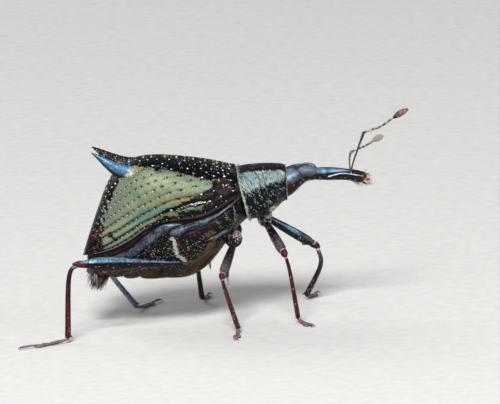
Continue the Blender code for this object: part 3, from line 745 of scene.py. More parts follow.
crowd = through(CROWDED_ROW, np.linspace(0, 1, CROWD))
crowd[:, 1] += ZIGZAG * np.where(np.arange(CROWD) % 2, 1, -1)
row, column = np.rint(crowd * np.array([SHELL_ROWS, OUTER_COLUMNS])).astype(int).T
coat(
    "shoulder_scales", flake(), on_shell(row, column, crowd),
    grown((0.066, 0.030, 0.016), 0.35, 2 * CROWD) * np.tile(np.linspace(1, 0.5, CROWD), 2)[:, None],
    pearl_look, lift=0.2,
)

dusty = (patch < -0.04) * (spike < 0.02) * (
    0.2 + ramp(s_grid, 0.45, 0.05) * ramp(t_grid, 0.7, 0.4) + 0.6 * ramp(s_grid, 0.60, 0.80)
)
for name, density, count, rise, size, spread, lift in (
    ("dust_of_scales", dusty, 260, 0.004, (0.018, 0.014, 0.008), 0.4, 0.1),
    ("thorn_scales", (spike > 0.12) * (1 - thorn_side), 70, 0.0, (0.026, 0.018, 0.010), 0.3, 0.4),
):
    roots = strewn_on_shell(density, count, rise)
    coat(name, flake(), roots, grown(size, spread, 2 * count), pearl_look, lift)

# Scutellum

# A small shield of black cuticle, let in between the bases of the wing cases where they meet
# the pronotum. It is a low egg shape whose lower half lies between the cases.

SCUTELLUM = (0.335, 0.0, 4.302)
SCUTELLUM_RADII = (0.085, 0.065, 0.038)

black_look, spot = new_look("black_cuticle", specular_ior_level=0.4)
fine = noise(spot, 18.0, 4.0)
broad = noise(spot, 2.5)
wear(
    black_look, height=fine, rise=0.01, roughness=0.28 + fine * 0.2,
    base_color=broad.step(0.45, 0.70).mix(fine.mottled((12, 11, 15), (30, 25, 36), 0.40, 0.70), (40, 28, 40)),
)


def egg(bm, centre, radii, segments, rings):
    """Adds a closed egg-shaped skin to a bmesh."""
    place = Matrix.Translation(centre) @ Matrix.Diagonal((*radii, 1.0))
    bmesh.ops.create_uvsphere(bm, u_segments=segments, v_segments=rings, radius=1.0, matrix=place)


bm = bmesh.new()
egg(bm, SCUTELLUM, SCUTELLUM_RADII, 32, 20)
piece("scutellum_shield", bm, black_look, ["scutellum"])

# Thorax and abdomen

# The underside is a box of black plates. The thorax carries the middle and hind legs, and
# five belly plates overlap like tiles behind it. All tuck up inside the wing cases. Steel
# blue bands and plum plates stand a little proud of the flank.

# The keel as (x, z), from the front to the tail.
BELLY_LINE = [
    (0.52, 2.62), (-0.38, 1.46), (-1.20, 1.18), (-1.95, 1.16), (-2.45, 1.17),
    (-2.90, 1.20), (-3.25, 1.22), (-3.55, 1.26), (-3.74, 1.40),
]
BELLY_POWER = 2.2
LEDGE = 0.05  # how far the flank starts inside the margin
UNDER_SHELL = 0.026  # how far it stays under the wing cases
ROOF_DEPTHS = (0.15, 0.45)  # at the base of the wing cases, and behind it
# Where the thorax ends, and where the five belly plates start and end, as shares of the wing
# cases' length.
THORAX_END = 0.306
VENTRITES = [0.285, 0.43, 0.56, 0.68, 0.795, 0.925]
VENTRITE_STEP = 0.021  # height of the step between two belly plates
VENTRITE_SWELLING = 0.04  # how far each belly plate bulges
VENTRITE_ROWS = 34
PLATE_OVERLAP = 0.05  # how far the first belly plate is tucked under the thorax
MOAT = 0.03  # depth of the furrow round a band that stands proud
COLLAR_INSET = 0.04  # of the thorax's front, inside the pronotum
# The pronotum, to which the thorax's front is fitted, from back to front. Each row is a ring:
# the x and z of its top, the x and z of its foot, and its half width.
PRONOTUM = [
    (0.476, 4.264, 0.840, 2.824, 0.93), (0.76, 4.32, 1.05, 2.85, 1.00),
    (1.09, 4.35, 1.32, 2.91, 0.97), (1.43, 4.365, 1.57, 3.10, 0.84),
    (1.70, 4.356, 1.76, 3.29, 0.66), (1.848, 4.32, 1.904, 3.366, 0.55),
]
ROOF_COLUMNS = 10
FLANK_COLUMNS = 150
# Raised or coloured parts of the flank: their kind, how proud they stand, and their outline as
# (share of length, share of the way down).
FLANK_SHAPES = [
    ("steel", 0.055, [
        (0.005, 0.0), (0.028, 0.03), (0.05, 0.038), (0.072, 0.035), (0.11, 0.018), (0.142, 0.022),
        (0.175, 0.04), (0.208, 0.06), (0.235, 0.082), (0.248, 0.118), (0.238, 0.142),
        (0.212, 0.152), (0.195, 0.125), (0.178, 0.112), (0.16, 0.11), (0.145, 0.095),
        (0.128, 0.088), (0.11, 0.08), (0.088, 0.088), (0.065, 0.08), (0.042, 0.072),
        (0.02, 0.068), (0.0, 0.048),
    ]),
    ("steel", 0.045, [
        (0.198, 0.038), (0.225, 0.02), (0.262, 0.0), (0.29, 0.012), (0.328, 0.045),
        (0.375, 0.07), (0.43, 0.088), (0.482, 0.12), (0.60, 0.13), (0.72, 0.15), (0.76, 0.18),
        (0.70, 0.23), (0.60, 0.27), (0.475, 0.26), (0.415, 0.228), (0.36, 0.185),
        (0.328, 0.155), (0.295, 0.12), (0.255, 0.082), (0.238, 0.07),
    ]),
    ("steel", 0.035, [
        (0.118, 0.278), (0.098, 0.288), (0.07, 0.325), (0.052, 0.365), (0.025, 0.51),
        (0.04, 0.468), (0.062, 0.392), (0.09, 0.355), (0.11, 0.308),
    ]),
    ("plum", 0.02, [
        (0.245, 0.145), (0.212, 0.157), (0.195, 0.13), (0.178, 0.117), (0.145, 0.10),
        (0.11, 0.085), (0.088, 0.092), (0.065, 0.084), (0.06, 0.15), (0.065, 0.185),
        (0.082, 0.20), (0.11, 0.195), (0.145, 0.192), (0.18, 0.19), (0.23, 0.168),
    ]),
    ("plum", 0.03, [
        (0.225, 0.20), (0.215, 0.205), (0.195, 0.268), (0.175, 0.35), (0.155, 0.455),
        (0.162, 0.51), (0.185, 0.485), (0.198, 0.39), (0.21, 0.308),
    ]),
    ("rust", 0.0, [
        (0.07, -0.03), (0.30, -0.03), (0.75, -0.03), (0.75, 0.10), (0.60, 0.12), (0.482, 0.115),
        (0.43, 0.083), (0.375, 0.065), (0.328, 0.04), (0.29, 0.008), (0.24, 0.012), (0.20, 0.03),
        (0.14, 0.015), (0.07, 0.012),
    ]),
    ("gold", 0.02, [
        (0.075, 0.368), (0.085, 0.422), (0.085, 0.56), (0.10, 0.635), (0.12, 0.672),
        (0.148, 0.688), (0.175, 0.665), (0.195, 0.632), (0.185, 0.485), (0.158, 0.468),
        (0.135, 0.462), (0.118, 0.412), (0.102, 0.355),
    ]),
    ("gold", 0.0, [
        (0.118, 0.215), (0.102, 0.198), (0.08, 0.26), (0.095, 0.282),
    ]),
]


def flank_at(s, down_share):
    """The left side of the body under the margin: 0 at the margin, 1 at the keel."""
    margin, belly = through(MARGIN_LINE, s), through(BELLY_LINE, s)
    across, down = arch(BELLY_POWER, 1 - down_share)
    side_y = np.maximum(margin[..., 1] - LEDGE, 0.02)
    side_z = margin[..., 2] - UNDER_SHELL
    return np.stack([
        margin[..., 0] + (belly[..., 0] - margin[..., 0]) * (1 - down),
        side_y * across,
        side_z + (belly[..., 1] - side_z) * (1 - down),
    ], axis=-1)


def flank_marks(s, down):
    """How proud the flank stands, and what covers it, at places on it."""
    height = np.zeros(s.shape)
    marks = {kind: np.zeros(s.shape) for kind in ("steel", "plum", "rust", "gold")}
    for kind, proud, outline in FLANK_SHAPES:
        depth = inside(outline, s, down)
        height += proud * ramp(depth, -0.01, 0.06)
        if proud >= MOAT:
            height -= MOAT * np.exp(-(((depth + 0.02) / 0.025) ** 2))
        marks[kind] = np.maximum(marks[kind], ramp(depth, -0.015, 0.015))
    return height, marks


def relieved_flank(s, down):
    """The left flank with its plates and bands standing proud."""
    step = 0.003
    rearward = flank_at(s + step, down) - flank_at(s - step, down)
    lower = flank_at(s, down + step) - flank_at(s, down - step)
    return flank_at(s, down) + unit(np.cross(lower, rearward)) * flank_marks(s, down)[0][..., None]


def roof_at(s, t):
    """The body inside the left wing case: t is 0 at the back's middle, 1 at the margin."""
    outside = shell_at(s, t)
    margin = through(MARGIN_LINE, s)
    core = margin * np.array([1, 0, 1])
    reach = np.linalg.norm(core - outside, axis=-1, keepdims=True)
    deepest = ROOF_DEPTHS[0] + (ROOF_DEPTHS[1] - ROOF_DEPTHS[0]) * ramp(s, 0.0, 0.15)[..., None]
    deep = np.minimum(deepest, 0.55 * reach) + UNDER_SHELL
    return outside + (core - outside) / (reach + 1e-9) * deep


def body_rings(s_line):
    """Closed rings of the body at shares of the wing cases' length, their down shares, and
    what covers them."""
    s, t = np.meshgrid(s_line, np.linspace(0, 0.93, ROOF_COLUMNS), indexing="ij")
    roof = roof_at(s, t)
    s, down = np.meshgrid(s_line, np.linspace(0, 1, FLANK_COLUMNS), indexing="ij")
    half = np.concatenate([roof, relieved_flank(s, down)], axis=1)
    mirror = half[:, -2::-1] * np.array([1, -1, 1])

    def all_round(values, fill):
        left = np.concatenate([0 * roof[..., 0] + fill, values], axis=1)
        return np.concatenate([left, left[:, -2::-1]], axis=1)

    marks = {name: all_round(values, 0.0) for name, values in flank_marks(s, down)[1].items()}
    return np.concatenate([half, mirror], axis=1), all_round(down, -1.0), marks


def capped(rings, values, bulge=(0.0, 0.0)):
    """A skin over rings, with both ends drawn in to a point and pushed out by the bulges."""
    caps = []
    for end, neighbour, out in ((rings[0], rings[1], bulge[0]), (rings[-1], rings[-2], bulge[1])):
        middle = end[:-1].mean(axis=0)
        way = unit(middle - neighbour[:-1].mean(axis=0))
        cap = [
            middle + (end - middle) * share + way * out * math.sqrt(1 - share * share)
            for share in (0.97, 0.88, 0.72, 0.50, 0.25, 0.0)
        ]
        caps.append(np.array(cap))
    rows = np.concatenate([caps[0][::-1], rings, caps[1]], axis=0)
    count = len(caps[0])
    filled = {name: np.pad(v, ((count, count), (0, 0)), mode="edge") for name, v in values.items()}
    return skin(rows, filled)


plate_look, spot, steel, gold, plum, rust = new_look(
    "black_body_plates", "steel gold plum rust", specular_ior_level=0.12
)
fine = noise(spot, 16.0, 4.0)
broad = noise(spot, 2.5)
puncture = cells(spot, 11.0).step(0.34, 0.16)
hindmost = spot.node("SeparateXYZ", None, {"Vector": spot}, 0).step(-1.0, -2.4)
bluish = layered(
    (broad * 0.5 + fine * 0.5).mottled((40, 44, 52), (106, 118, 130), 0.40, 0.60),
    (hindmost * 0.55, fine.mottled((30, 28, 36), (74, 70, 86))),
)
wear(
    plate_look, height=fine * 0.4 - puncture, rise=0.012,
    base_color=layered(
        fine.mottled((6, 5, 6), (18, 14, 17), 0.35, 0.70),
        # Painted shade: the punctures are made darker.
        (puncture * 0.6, (5, 4, 6)),
        (rust, broad.mottled((24, 10, 13), (48, 22, 26))),
        (plum, fine.mottled((16, 9, 14), (44, 24, 32), 0.35, 0.70)),
        (gold, fine.mottled((22, 14, 10), (60, 44, 30), 0.35, 0.70)),
        (steel, bluish),
    ),
    metallic=steel * 0.45, roughness=0.30 + fine * 0.2 + gold * 0.3,
)

s_thorax = np.concatenate([[0.0], np.linspace(0.004, THORAX_END, 130)])
rings, down, marks = body_rings(s_thorax)
first = rings[0]
top_x, top_z, low_x, low_z, half_width = PRONOTUM[0]
highest, lowest, widest = first[:, 2].max(), first[:, 2].min(), first[:, 1].max()
drop = (highest - first[:, 2]) / (highest - lowest)
collar_z = highest - drop * (highest - low_z - 0.05)
collar_x = top_x + (low_x - top_x) * (top_z - collar_z) / (top_z - low_z) - GAP / 2
collar = np.stack([collar_x, first[:, 1] / widest * (half_width - COLLAR_INSET), collar_z], axis=-1)
shares = np.linspace(0, 1, 14)[:-1, None, None]
rings = np.concatenate([collar + (first - collar) * shares, rings], axis=0)
for name, values in marks.items():
    marks[name] = np.concatenate([values[:1] * shares[..., 0], values], axis=0)
piece("thorax_plates", capped(rings, marks), plate_look, ["thorax"])

step = np.linspace(0, 1, VENTRITE_ROWS)
s_belly = np.concatenate([
    np.linspace(start, end - 0.004, VENTRITE_ROWS) for start, end in zip(VENTRITES, VENTRITES[1:])
])
tuck = np.tile(VENTRITE_STEP * (1 - ramp(step, 0.0, 0.5)), len(VENTRITES) - 1)
tuck += PLATE_OVERLAP * ramp(s_belly, THORAX_END + 0.004, THORAX_END - 0.004)
swelling = np.sin(np.linspace(0, math.pi, VENTRITE_ROWS)) ** 2
swelling = np.tile(swelling, len(VENTRITES) - 1) * VENTRITE_SWELLING
rings, down, marks = body_rings(s_belly)
middle = rings[:, :-1].mean(axis=1, keepdims=True)
proud = swelling[:, None] * ramp(down, 0.5, 0.9) - tuck[:, None] * ramp(down, 0.0, 0.15)
rings = rings + unit(rings - middle) * proud[..., None]
piece("belly_plates", capped(rings, marks, (0.0, 0.06)), plate_look, ["abdomen"])

# Scales and felt of the underside

# The flank is dusted with short white scales, and a cream line of them runs down behind the
# middle hip. A golden felt lies between the hips, the belly has a short brown fuzz, and the
# tail ends in two tufts, one brown and one of broad lilac scales.

# Lines of cream scales on the flank: a thick one behind the middle hip, and fine ones before it.
CREAM_LINE = [
    (0.242, 0.172), (0.232, 0.188), (0.23, 0.242), (0.228, 0.302), (0.225, 0.365), (0.21, 0.41),
    (0.198, 0.475), (0.192, 0.59),
]
FINE_LINES = [
    [(0.055, 0.07), (0.047, 0.12), (0.044, 0.17), (0.038, 0.24)],
    [(0.022, 0.08), (0.014, 0.17), (0.010, 0.26), (0.004, 0.42)],
    [(0.09, 0.09), (0.083, 0.13), (0.07, 0.18), (0.066, 0.25)],
    [(0.012, 0.40), (0.018, 0.47), (0.028, 0.54), (0.035, 0.60)],
]
FLANK_GIRTH = 2.4
LOBE_EDGES = [0.13, 0.285, 0.43, 0.56, 0.68, 0.795, 0.97]  # of the fuzz
FUZZ_HAIRS = 4200


def strand(cuts=1):
    """One hair along +X, thin at its tip."""
    bm = bmesh.new()
    lying = Matrix.Translation((0.5, 0, 0)) @ Matrix.Rotation(math.pi / 2, 4, "Y")
    bmesh.ops.create_cone(
        bm, cap_ends=True, segments=3, radius1=0.5, radius2=0.06, depth=1.0, matrix=lying
    )
    long_edges = [edge for edge in bm.edges if edge.calc_length() > 0.9]
    bmesh.ops.subdivide_edges(bm, edges=long_edges, cuts=cuts)
    bmesh.ops.triangulate(bm, faces=bm.faces)
    return bm


def swung(roots, angles):
    """Roots whose hairs lie turned by angles from their usual way."""
    spot, face, way, unwrap = roots
    turn = np.broadcast_to(np.asarray(angles, float), len(spot))[:, None]
    return spot, face, unit(way * np.cos(turn) + np.cross(face, way) * np.sin(turn)), unwrap


def ragged(count, spread, middle=0.0):
    return rng.normal(middle, spread, count)


def rooted(points, density, count, spread, way=0.0):
    """Random roots whose hairs lie raggedly about one way."""
    return swung(strew(points, density, count), ragged(count, spread, way))


def hairs(name, points, density, count, size, look, vary=0.3, spread=0.5, way=0.0, cuts=1,
          lift=0.2, bend=0.0):
    """A coat of hairs on both sides, of some size, that lie raggedly about one way."""
    roots = both_sides(rooted(points, density, count, spread, way))
    coat(name, strand(cuts), roots, grown(size, vary, 2 * count), look, lift, bend)


HAIRY_LENGTH = 0.97
s_flank, down_flank = np.meshgrid(np.linspace(0, HAIRY_LENGTH, 260), np.linspace(0, 1, 160), indexing="ij")
flank = relieved_flank(s_flank, down_flank)
covers = flank_marks(s_flank, down_flank)[1]
bare_black = math.prod(1 - covers[kind] for kind in ("steel", "rust", "gold", "plum"))


def near_lines(lines, width):
    """1 on lines drawn on the flank, and 0 some widths from them."""
    nearest = np.full(s_flank.shape, 9.0)
    for line in lines:
        for s_here, down_here in through(line, np.linspace(0, 1, 90)):
            gap = np.hypot((s_flank - s_here) * SHELL_LENGTH, (down_flank - down_here) * FLANK_GIRTH)
            nearest = np.minimum(nearest, gap)
    return np.exp(-((nearest / width) ** 2))


def lobed(share):
    """1 in the middle of each lobe of the belly's fuzz, and 0 between them."""
    return np.sin(math.pi * (np.interp(share, LOBE_EDGES, np.arange(len(LOBE_EDGES))) % 1)) ** 2


hair_look = tinted_look("pale_scales_of_the_flank", (150, 152, 150), (238, 238, 226), roughness=0.45)
# The last colour given to each of these three looks is a painted highlight for a few of their hairs.
gold_look = tinted_look(
    "golden_felt", (24, 17, 13), (106, 87, 62), (184, 160, 120), ((0.0, 0.75), (0.86, 1.0))
)
fuzz_look = tinted_look("brown_belly_fuzz", (30, 22, 17), (124, 104, 78), (198, 176, 138))
lilac_look = tinted_look(
    "lilac_tail_scales", (24, 18, 28), (112, 102, 122), (226, 220, 206), ((0.0, 0.7), (0.80, 1.0))
)
speckled = (
    (bare_black + 0.10 * covers["steel"] + 0.35 * covers["plum"])
    * (0.45 + 0.55 * ramp(down_flank, 0.1, 0.3)) * ramp(s_flank, 0.62, 0.45)
    * (0.45 + 0.55 * ramp(s_flank, 0.08, 0.16))
    * (1 - ramp(s_flank, 0.15, 0.25) * ramp(down_flank, 0.5, 0.6))
)
hairs("flank_scales", flank, speckled, 950, (0.029, 0.012, 0.010), hair_look, 0.5, way=0.6)
hairs(
    "cream_line", flank, near_lines([CREAM_LINE], 0.018), 360, (0.075, 0.022, 0.014), hair_look,
    way=1.2, lift=0.35,
)
hairs(
    "fine_streaks", flank, near_lines(FINE_LINES, 0.014), 110, (0.050, 0.013, 0.010), hair_look,
    vary=0.4, spread=0.35, way=1.4,
)
hairs(
    "golden_felt", flank, covers["gold"], 2400, (0.13, 0.016, 0.012), gold_look,
    spread=0.35, way=1.0, cuts=2, lift=0.3, bend=0.2,
)

fuzzy = ramp(s_flank, 0.10, 0.2) * ramp(down_flank, 0.45, 0.62) * (0.08 + lobed(s_flank))
fuzz = strew(flank, fuzzy, FUZZ_HAIRS)
fuzz_sizes = grown((0.10, 0.014, 0.012), 0.3, 2 * FUZZ_HAIRS)
fuzz_sizes[:, 0] *= np.tile(0.35 + lobed(fuzz[3][:, 0] * HAIRY_LENGTH), 2)
coat(
    "belly_fuzz", strand(), both_sides(swung(fuzz, ragged(FUZZ_HAIRS, 0.5))), fuzz_sizes,
    fuzz_look, lift=0.7, bend=0.3,
)

tail_end = ramp(s_flank, 0.66, 0.72) * ramp(s_flank, 0.84, 0.78) * ramp(down_flank, 0.72, 0.86)
hairs(
    "tail_tuft", flank, tail_end, 190, (0.32, 0.024, 0.018), gold_look,
    vary=0.45, spread=0.42, cuts=2, lift=2.1, bend=-0.15,
)
tail_side = ramp(s_flank, 0.80, 0.83) * ramp(s_flank, 0.92, 0.88) * ramp(down_flank, 0.6, 0.8)
hairs(
    "pale_tail_tuft", flank, tail_side, 110, (0.30, 0.032, 0.020), lilac_look,
    vary=0.40, spread=0.35, way=math.pi, cuts=2, lift=2.2, bend=-0.1,
)

# Pronotum

# The shield over the front of the thorax is one bell-shaped ring of black cuticle, finely
# pitted, with a raised rim at each end. It slides over the thorax like a sleeve. A stripe
# of silver green scales runs along each side, and cream hairs fringe its hind margin.

PRONOTUM_SIZE = (1.40, 2.60)  # its length, and half way round it
DISH = 0.08  # how far the front face is hollowed for the head
RIM_HEIGHT = 0.018
STRIPE_SCALES = 1300
SILVER_STRIPE = [
    (0.0, 0.160), (0.25, 0.160), (0.45, 0.167), (0.64, 0.186), (0.893, 0.198), (0.91, 0.28),
    (0.873, 0.345), (0.557, 0.362), (0.413, 0.364), (0.20, 0.372), (0.04, 0.385),
]


def barrel_rings(keys, rows, columns, power=2.2):
    """Closed rings through keys given by their top, bottom and half width, and what marks them."""
    places = np.linspace(0, 1, rows)
    top_x, top_z, low_x, low_z, half_width = through(keys, places).T
    top = np.stack([top_x, 0 * top_x, top_z], axis=-1)
    low = np.stack([low_x, 0 * low_x, low_z], axis=-1)
    up = unit(top - low)
    half_depth = np.linalg.norm(top - low, axis=-1) / 2
    angles = np.linspace(0, 2 * math.pi, columns + 1)
    height, aside = (
        np.sign(wave) * np.abs(wave) ** (2 / power) for wave in (np.cos(angles), np.sin(angles))
    )
    rings = (
        ((top + low) / 2)[:, None, :]
        + up[:, None, :] * (half_depth[:, None] * height)[..., None]
        + np.array([0, 1.0, 0]) * (half_width[:, None] * aside)[..., None]
    )
    along = np.repeat(places[:, None], columns + 1, axis=1)
    around = np.repeat(np.minimum(angles, 2 * math.pi - angles)[None] / math.pi, rows, axis=0)
    return rings, {"along": along, "around": around}


def push(rings, amount):
    """Moves rings of points out along the way they face."""
    middle = rings[:, :-1].mean(axis=1, keepdims=True)
    way = facing(rings)
    way[:, 0] = way[:, -1] = unit(way[:, 1] + way[:, -2])
    side = np.sign(np.sum(way * (rings - middle), axis=-1, keepdims=True))
    return rings + way * side * amount[..., None]


def left_half(grid):
    """The half of some rings that lies on the left, from the top to the bottom."""
    return grid[:, :grid.shape[1] // 2 + 1]


rings, marks = barrel_rings(PRONOTUM, 120, 200)
along, around = marks["along"], marks["around"]
marks["stripe"] = inside(SILVER_STRIPE, along, around, PRONOTUM_SIZE)
rim = 0.6 * np.exp(-(((along - 0.985) / 0.02) ** 2)) + np.exp(-(((along - 0.02) / 0.02) ** 2))
rings = push(rings, rim * RIM_HEIGHT)
pronotum_look, spot, stripe = new_look("black_pitted_cuticle", "stripe", specular_ior_level=0.12)
fine = noise(spot, 18.0, 4.0)
puncture = cells(spot, 9.0).step(0.36, 0.18)
# Painted shade: the punctures are made darker.
base = (puncture * 0.6).mix(fine.mottled((6, 5, 8), (19, 16, 23), 0.35, 0.70), (5, 4, 6))
silver_here = (stripe + (fine - 0.5) * 0.14).step(-0.01, 0.04)
silver = fine.mottled((20, 30, 34), (84, 112, 112), 0.38, 0.62)
wear(
    pronotum_look, height=fine * 0.3 - puncture, rise=0.016, roughness=0.30 + fine * 0.2,
    base_color=silver_here.mix(base, silver), metallic=silver_here * 0.35,
)
shield = capped(rings, marks, (0.0, -DISH))
piece("pronotum_shield", shield, pronotum_look, ["pronotum"])

# Its last colour is a painted highlight for a few of its scales.
silver_look = tinted_look(
    "silver_green_scales", (22, 38, 44), (146, 188, 190), (238, 250, 244), ((0.12, 0.45), (0.45, 0.75)),
    roughness=0.35, shine=0.5, metal=0.2,
)
half, along, around = (left_half(grid) for grid in (rings, along, around))
inner = left_half(marks["stripe"])
lying = strew(half, ramp(inner, -0.04, 0.03), STRIPE_SCALES)
slant = np.radians(48 + 34 * ramp(lying[3][:, 0], 0.05, 0.35))
sizes = grown((1.0, 0.021, 0.012), 0.35, 2 * STRIPE_SCALES)
sizes[:, 0] *= np.tile(0.19 - 0.09 * ramp(lying[3][:, 0], 0.1, 0.5), 2)
coat(
    "silver_stripe", strand(), both_sides(swung(lying, slant + ragged(STRIPE_SCALES, 0.09))), sizes,
    silver_look, lift=0.12,
)
low_rows = ramp(around, 0.35, 0.42) * (0.5 + ramp(around, 0.70, 0.42))
hairs(
    "pronotum_hairs", half, (0.35 + low_rows) * ramp(inner, 0.02, -0.03), 430, (0.056, 0.009, 0.007),
    silver_look, vary=0.45, way=1.2,
)
throat = np.hypot((along - 0.56) / 0.09, (around - 0.75) / 0.07)
hairs(
    "throat_tuft", half, ramp(throat, 1.2, 0.6), 60, (0.085, 0.020, 0.014), hair_look,
    vary=0.35, spread=0.6, way=1.0, lift=0.7, bend=0.2,
)
hind_edge = np.exp(-(((along - 0.01) / 0.012) ** 2)) * ramp(around, 0.0, 0.05)
hairs(
    "hind_fringe", half, hind_edge, 420, (0.095, 0.018, 0.014), hair_look,
    spread=0.35, way=1.3, lift=0.3,
)
front_edge = np.exp(-(((along - 0.99) / 0.01) ** 2))
hairs("front_fringe", half, front_edge, 90, (0.050, 0.010, 0.008), hair_look, spread=0.3, way=1.4)

# Head

# The head is a smooth globe of blue-grey cuticle, red-brown beneath. Its back is sunk in the
# front of the pronotum, in which it turns in life. Here it is fixed.

# Rings from back to front, given as the pronotum's are.
HEAD = [
    (1.815, 4.24, 1.875, 3.42, 0.475), (2.07, 4.327, 2.072, 3.537, 0.47),
    (2.296, 4.355, 2.268, 3.737, 0.42), (2.52, 4.33, 2.464, 3.879, 0.33),
    (2.73, 4.256, 2.688, 3.914, 0.20),
]
head_look, spot, along, around = new_look("blue_grey_head", "along around", specular_ior_level=0.12)
fine = noise(spot, 20.0, 4.0)
broad = noise(spot, 2.5, 4.0)
low = (around + (broad - 0.5) * 0.25).step(0.42, 0.56)
crown = (around + (fine - 0.5) * 0.10).step(0.17, 0.07)
ember = along.step(0.30, 0.10) * (around + (broad - 0.5) * 0.3).step(0.78, 0.60)
under = (ember * 0.8).mix(fine.mottled((8, 4, 6), (30, 10, 11), 0.4, 0.65), (64, 15, 17))
top = broad.mottled((46, 54, 64), (108, 124, 140), 0.40, 0.62)
wear(
    head_look, height=fine, rise=0.005, roughness=0.32 + fine * 0.15,
    base_color=(crown * 0.85).mix(low.mix(top, under), (22, 18, 26)),
    metallic=0.35 * (1 - low) * (1 - crown),
)
rings, marks = barrel_rings(HEAD, 80, 120)
piece("head_capsule", capped(rings, marks), head_look, ["head"])
along, around = left_half(marks["along"]), left_half(marks["around"])
stubbly = ramp(along, 0.08, 0.2) * (ramp(around, 0.2, 0.05) + 0.5 * ramp(around, 0.45, 0.6))
hairs(
    "head_hairs", left_half(rings), stubbly, 90, (0.055, 0.009, 0.007), hair_look,
    vary=0.4, spread=0.3, lift=0.3,
)

# Eyes

# Each compound eye is a long oval lens of fine hexagonal facets, set into the side of the
# head.

EYE = (2.46, 0.300, 4.205)
EYE_RADII = (0.262, 0.140, 0.135)
eye_look, spot = new_look("facets_of_the_eye", specular_ior_level=0.5)
dome = cells(spot, 34.0).step(0.55, 0.0)
broad = noise(spot, 4.0, 2.0)
height = spot.node("SeparateXYZ", None, {"Vector": spot}, 2)
# Painted light: the upper part of the eye is coloured lighter, as lit from above.
lit = (height + (broad - 0.5) * 0.10).step(3.86, 4.08)
wear(
    eye_look, height=dome, rise=0.005, roughness=0.24 + (1 - dome) * 0.2,
    base_color=lit.mix(dome.mix((16, 16, 22), (46, 50, 60)), dome.mix((78, 90, 104), (146, 160, 174))),
)
for side, sign in (("left", 1), ("right", -1)):
    bm = bmesh.new()
    egg(bm, (EYE[0], sign * EYE[1], EYE[2]), EYE_RADII, 56, 36)
    piece("compound_eye_" + side, bm, eye_look, ["eye_" + side])

# Snout

# The long snout is a curved tube with a pale blue metallic band along each side and a groove
# under it that takes the feeler's first joint, darkened as painted shade. A raised ridge under
# the groove is painted pale as a highlight. Two small jaws close its tip.

# Rings from the head to the tip, given as the pronotum's are.
ROSTRUM = [
    (2.66, 4.252, 2.63, 3.912, 0.195), (3.11, 4.262, 3.11, 3.90, 0.165),
    (3.53, 4.222, 3.53, 3.902, 0.165), (3.81, 4.187, 3.80, 3.85, 0.195),
    (4.03, 4.130, 3.98, 3.825, 0.175), (4.105, 4.06, 4.07, 3.86, 0.13),
]
# Lines along the snout, as (share of its length, share of the way round): the top and the
# foot of the blue band, the groove for the feeler's first joint (painted shade) and the ridge under it
# (painted highlight).
BAND_TOP = [(0.0, 0.04), (0.15, 0.07), (0.30, 0.11), (0.40, 0.14), (0.50, 0.18), (1.0, 0.2)]
BAND_LOW = [
    (0.0, 0.46), (0.147, 0.44), (0.22, 0.40), (0.30, 0.34), (0.40, 0.26), (0.50, 0.18), (1.0, 0.1),
]
GROOVE = [
    (0.15, 0.56), (0.20, 0.50), (0.27, 0.425), (0.34, 0.35), (0.42, 0.31), (0.60, 0.32), (0.80, 0.31),
]
RIDGE = [
    (0.15, 0.62), (0.197, 0.56), (0.26, 0.49), (0.323, 0.42), (0.393, 0.405), (0.593, 0.393), (0.80, 0.37),
]
GROOVE_DEPTH, GROOVE_WIDTH = 0.03, 0.045
RIDGE_HEIGHT, RIDGE_WIDTH = 0.012, 0.035
LINE_ENDS = (0.13, 0.19, 0.78, 0.86)  # where both fade in and out along the snout
MANDIBLE = (4.125, 0.042, 3.955)
MANDIBLE_RADII = (0.09, 0.058, 0.06)
rings, marks = barrel_rings(ROSTRUM, 160, 90)
along, around = marks["along"], marks["around"]
top, low, groove, ridge = (
    np.interp(along, *np.array(line).T) for line in (BAND_TOP, BAND_LOW, GROOVE, RIDGE)
)
ends = ramp(along, LINE_ENDS[0], LINE_ENDS[1]) * ramp(along, LINE_ENDS[3], LINE_ENDS[2])
marks["band"] = ramp(around, top - 0.03, top + 0.03) * ramp(around, low + 0.03, low - 0.03)
marks["scrobe"] = ends * np.exp(-(((around - groove) / GROOVE_WIDTH) ** 2))
marks["ridge"] = ends * np.exp(-(((around - ridge) / RIDGE_WIDTH) ** 2))
rings = push(rings, RIDGE_HEIGHT * marks["ridge"] - GROOVE_DEPTH * marks["scrobe"])
snout_look, spot, band, scrobe, ridge, tip = new_look(
    "blue_metal_snout", "band scrobe ridge along", specular_ior_level=0.2
)
scrobe, ridge, tip = scrobe.step(0.3, 0.7), ridge.step(0.35, 0.75), tip.step(0.55, 0.95)
fine = noise(spot, 22.0, 4.0)
streaky = noise(spot, 6.0, 4.0)
wear(
    snout_look, height=fine, rise=0.006, roughness=0.32 + fine * 0.15,
    base_color=layered(
        fine.mottled((7, 5, 9), (26, 17, 24), 0.4, 0.65),
        (tip * 0.8, fine.mottled((44, 18, 16), (92, 44, 36), 0.4, 0.65)),
        (band * (1 - tip * 0.6), streaky.mottled((62, 84, 108), (128, 152, 178))),
        # Painted highlight: the ridge is coloured pale.
        (ridge * 0.9, streaky.mottled((120, 140, 160), (196, 212, 224))),
        # Painted shade: the groove is coloured nearly black.
        (scrobe * 0.9, (8, 6, 9)),
    ),
    metallic=0.5 * band + 0.3 * ridge,
)
piece("snout_tube", capped(rings, marks, (0.0, 0.03)), snout_look, ["rostrum"])

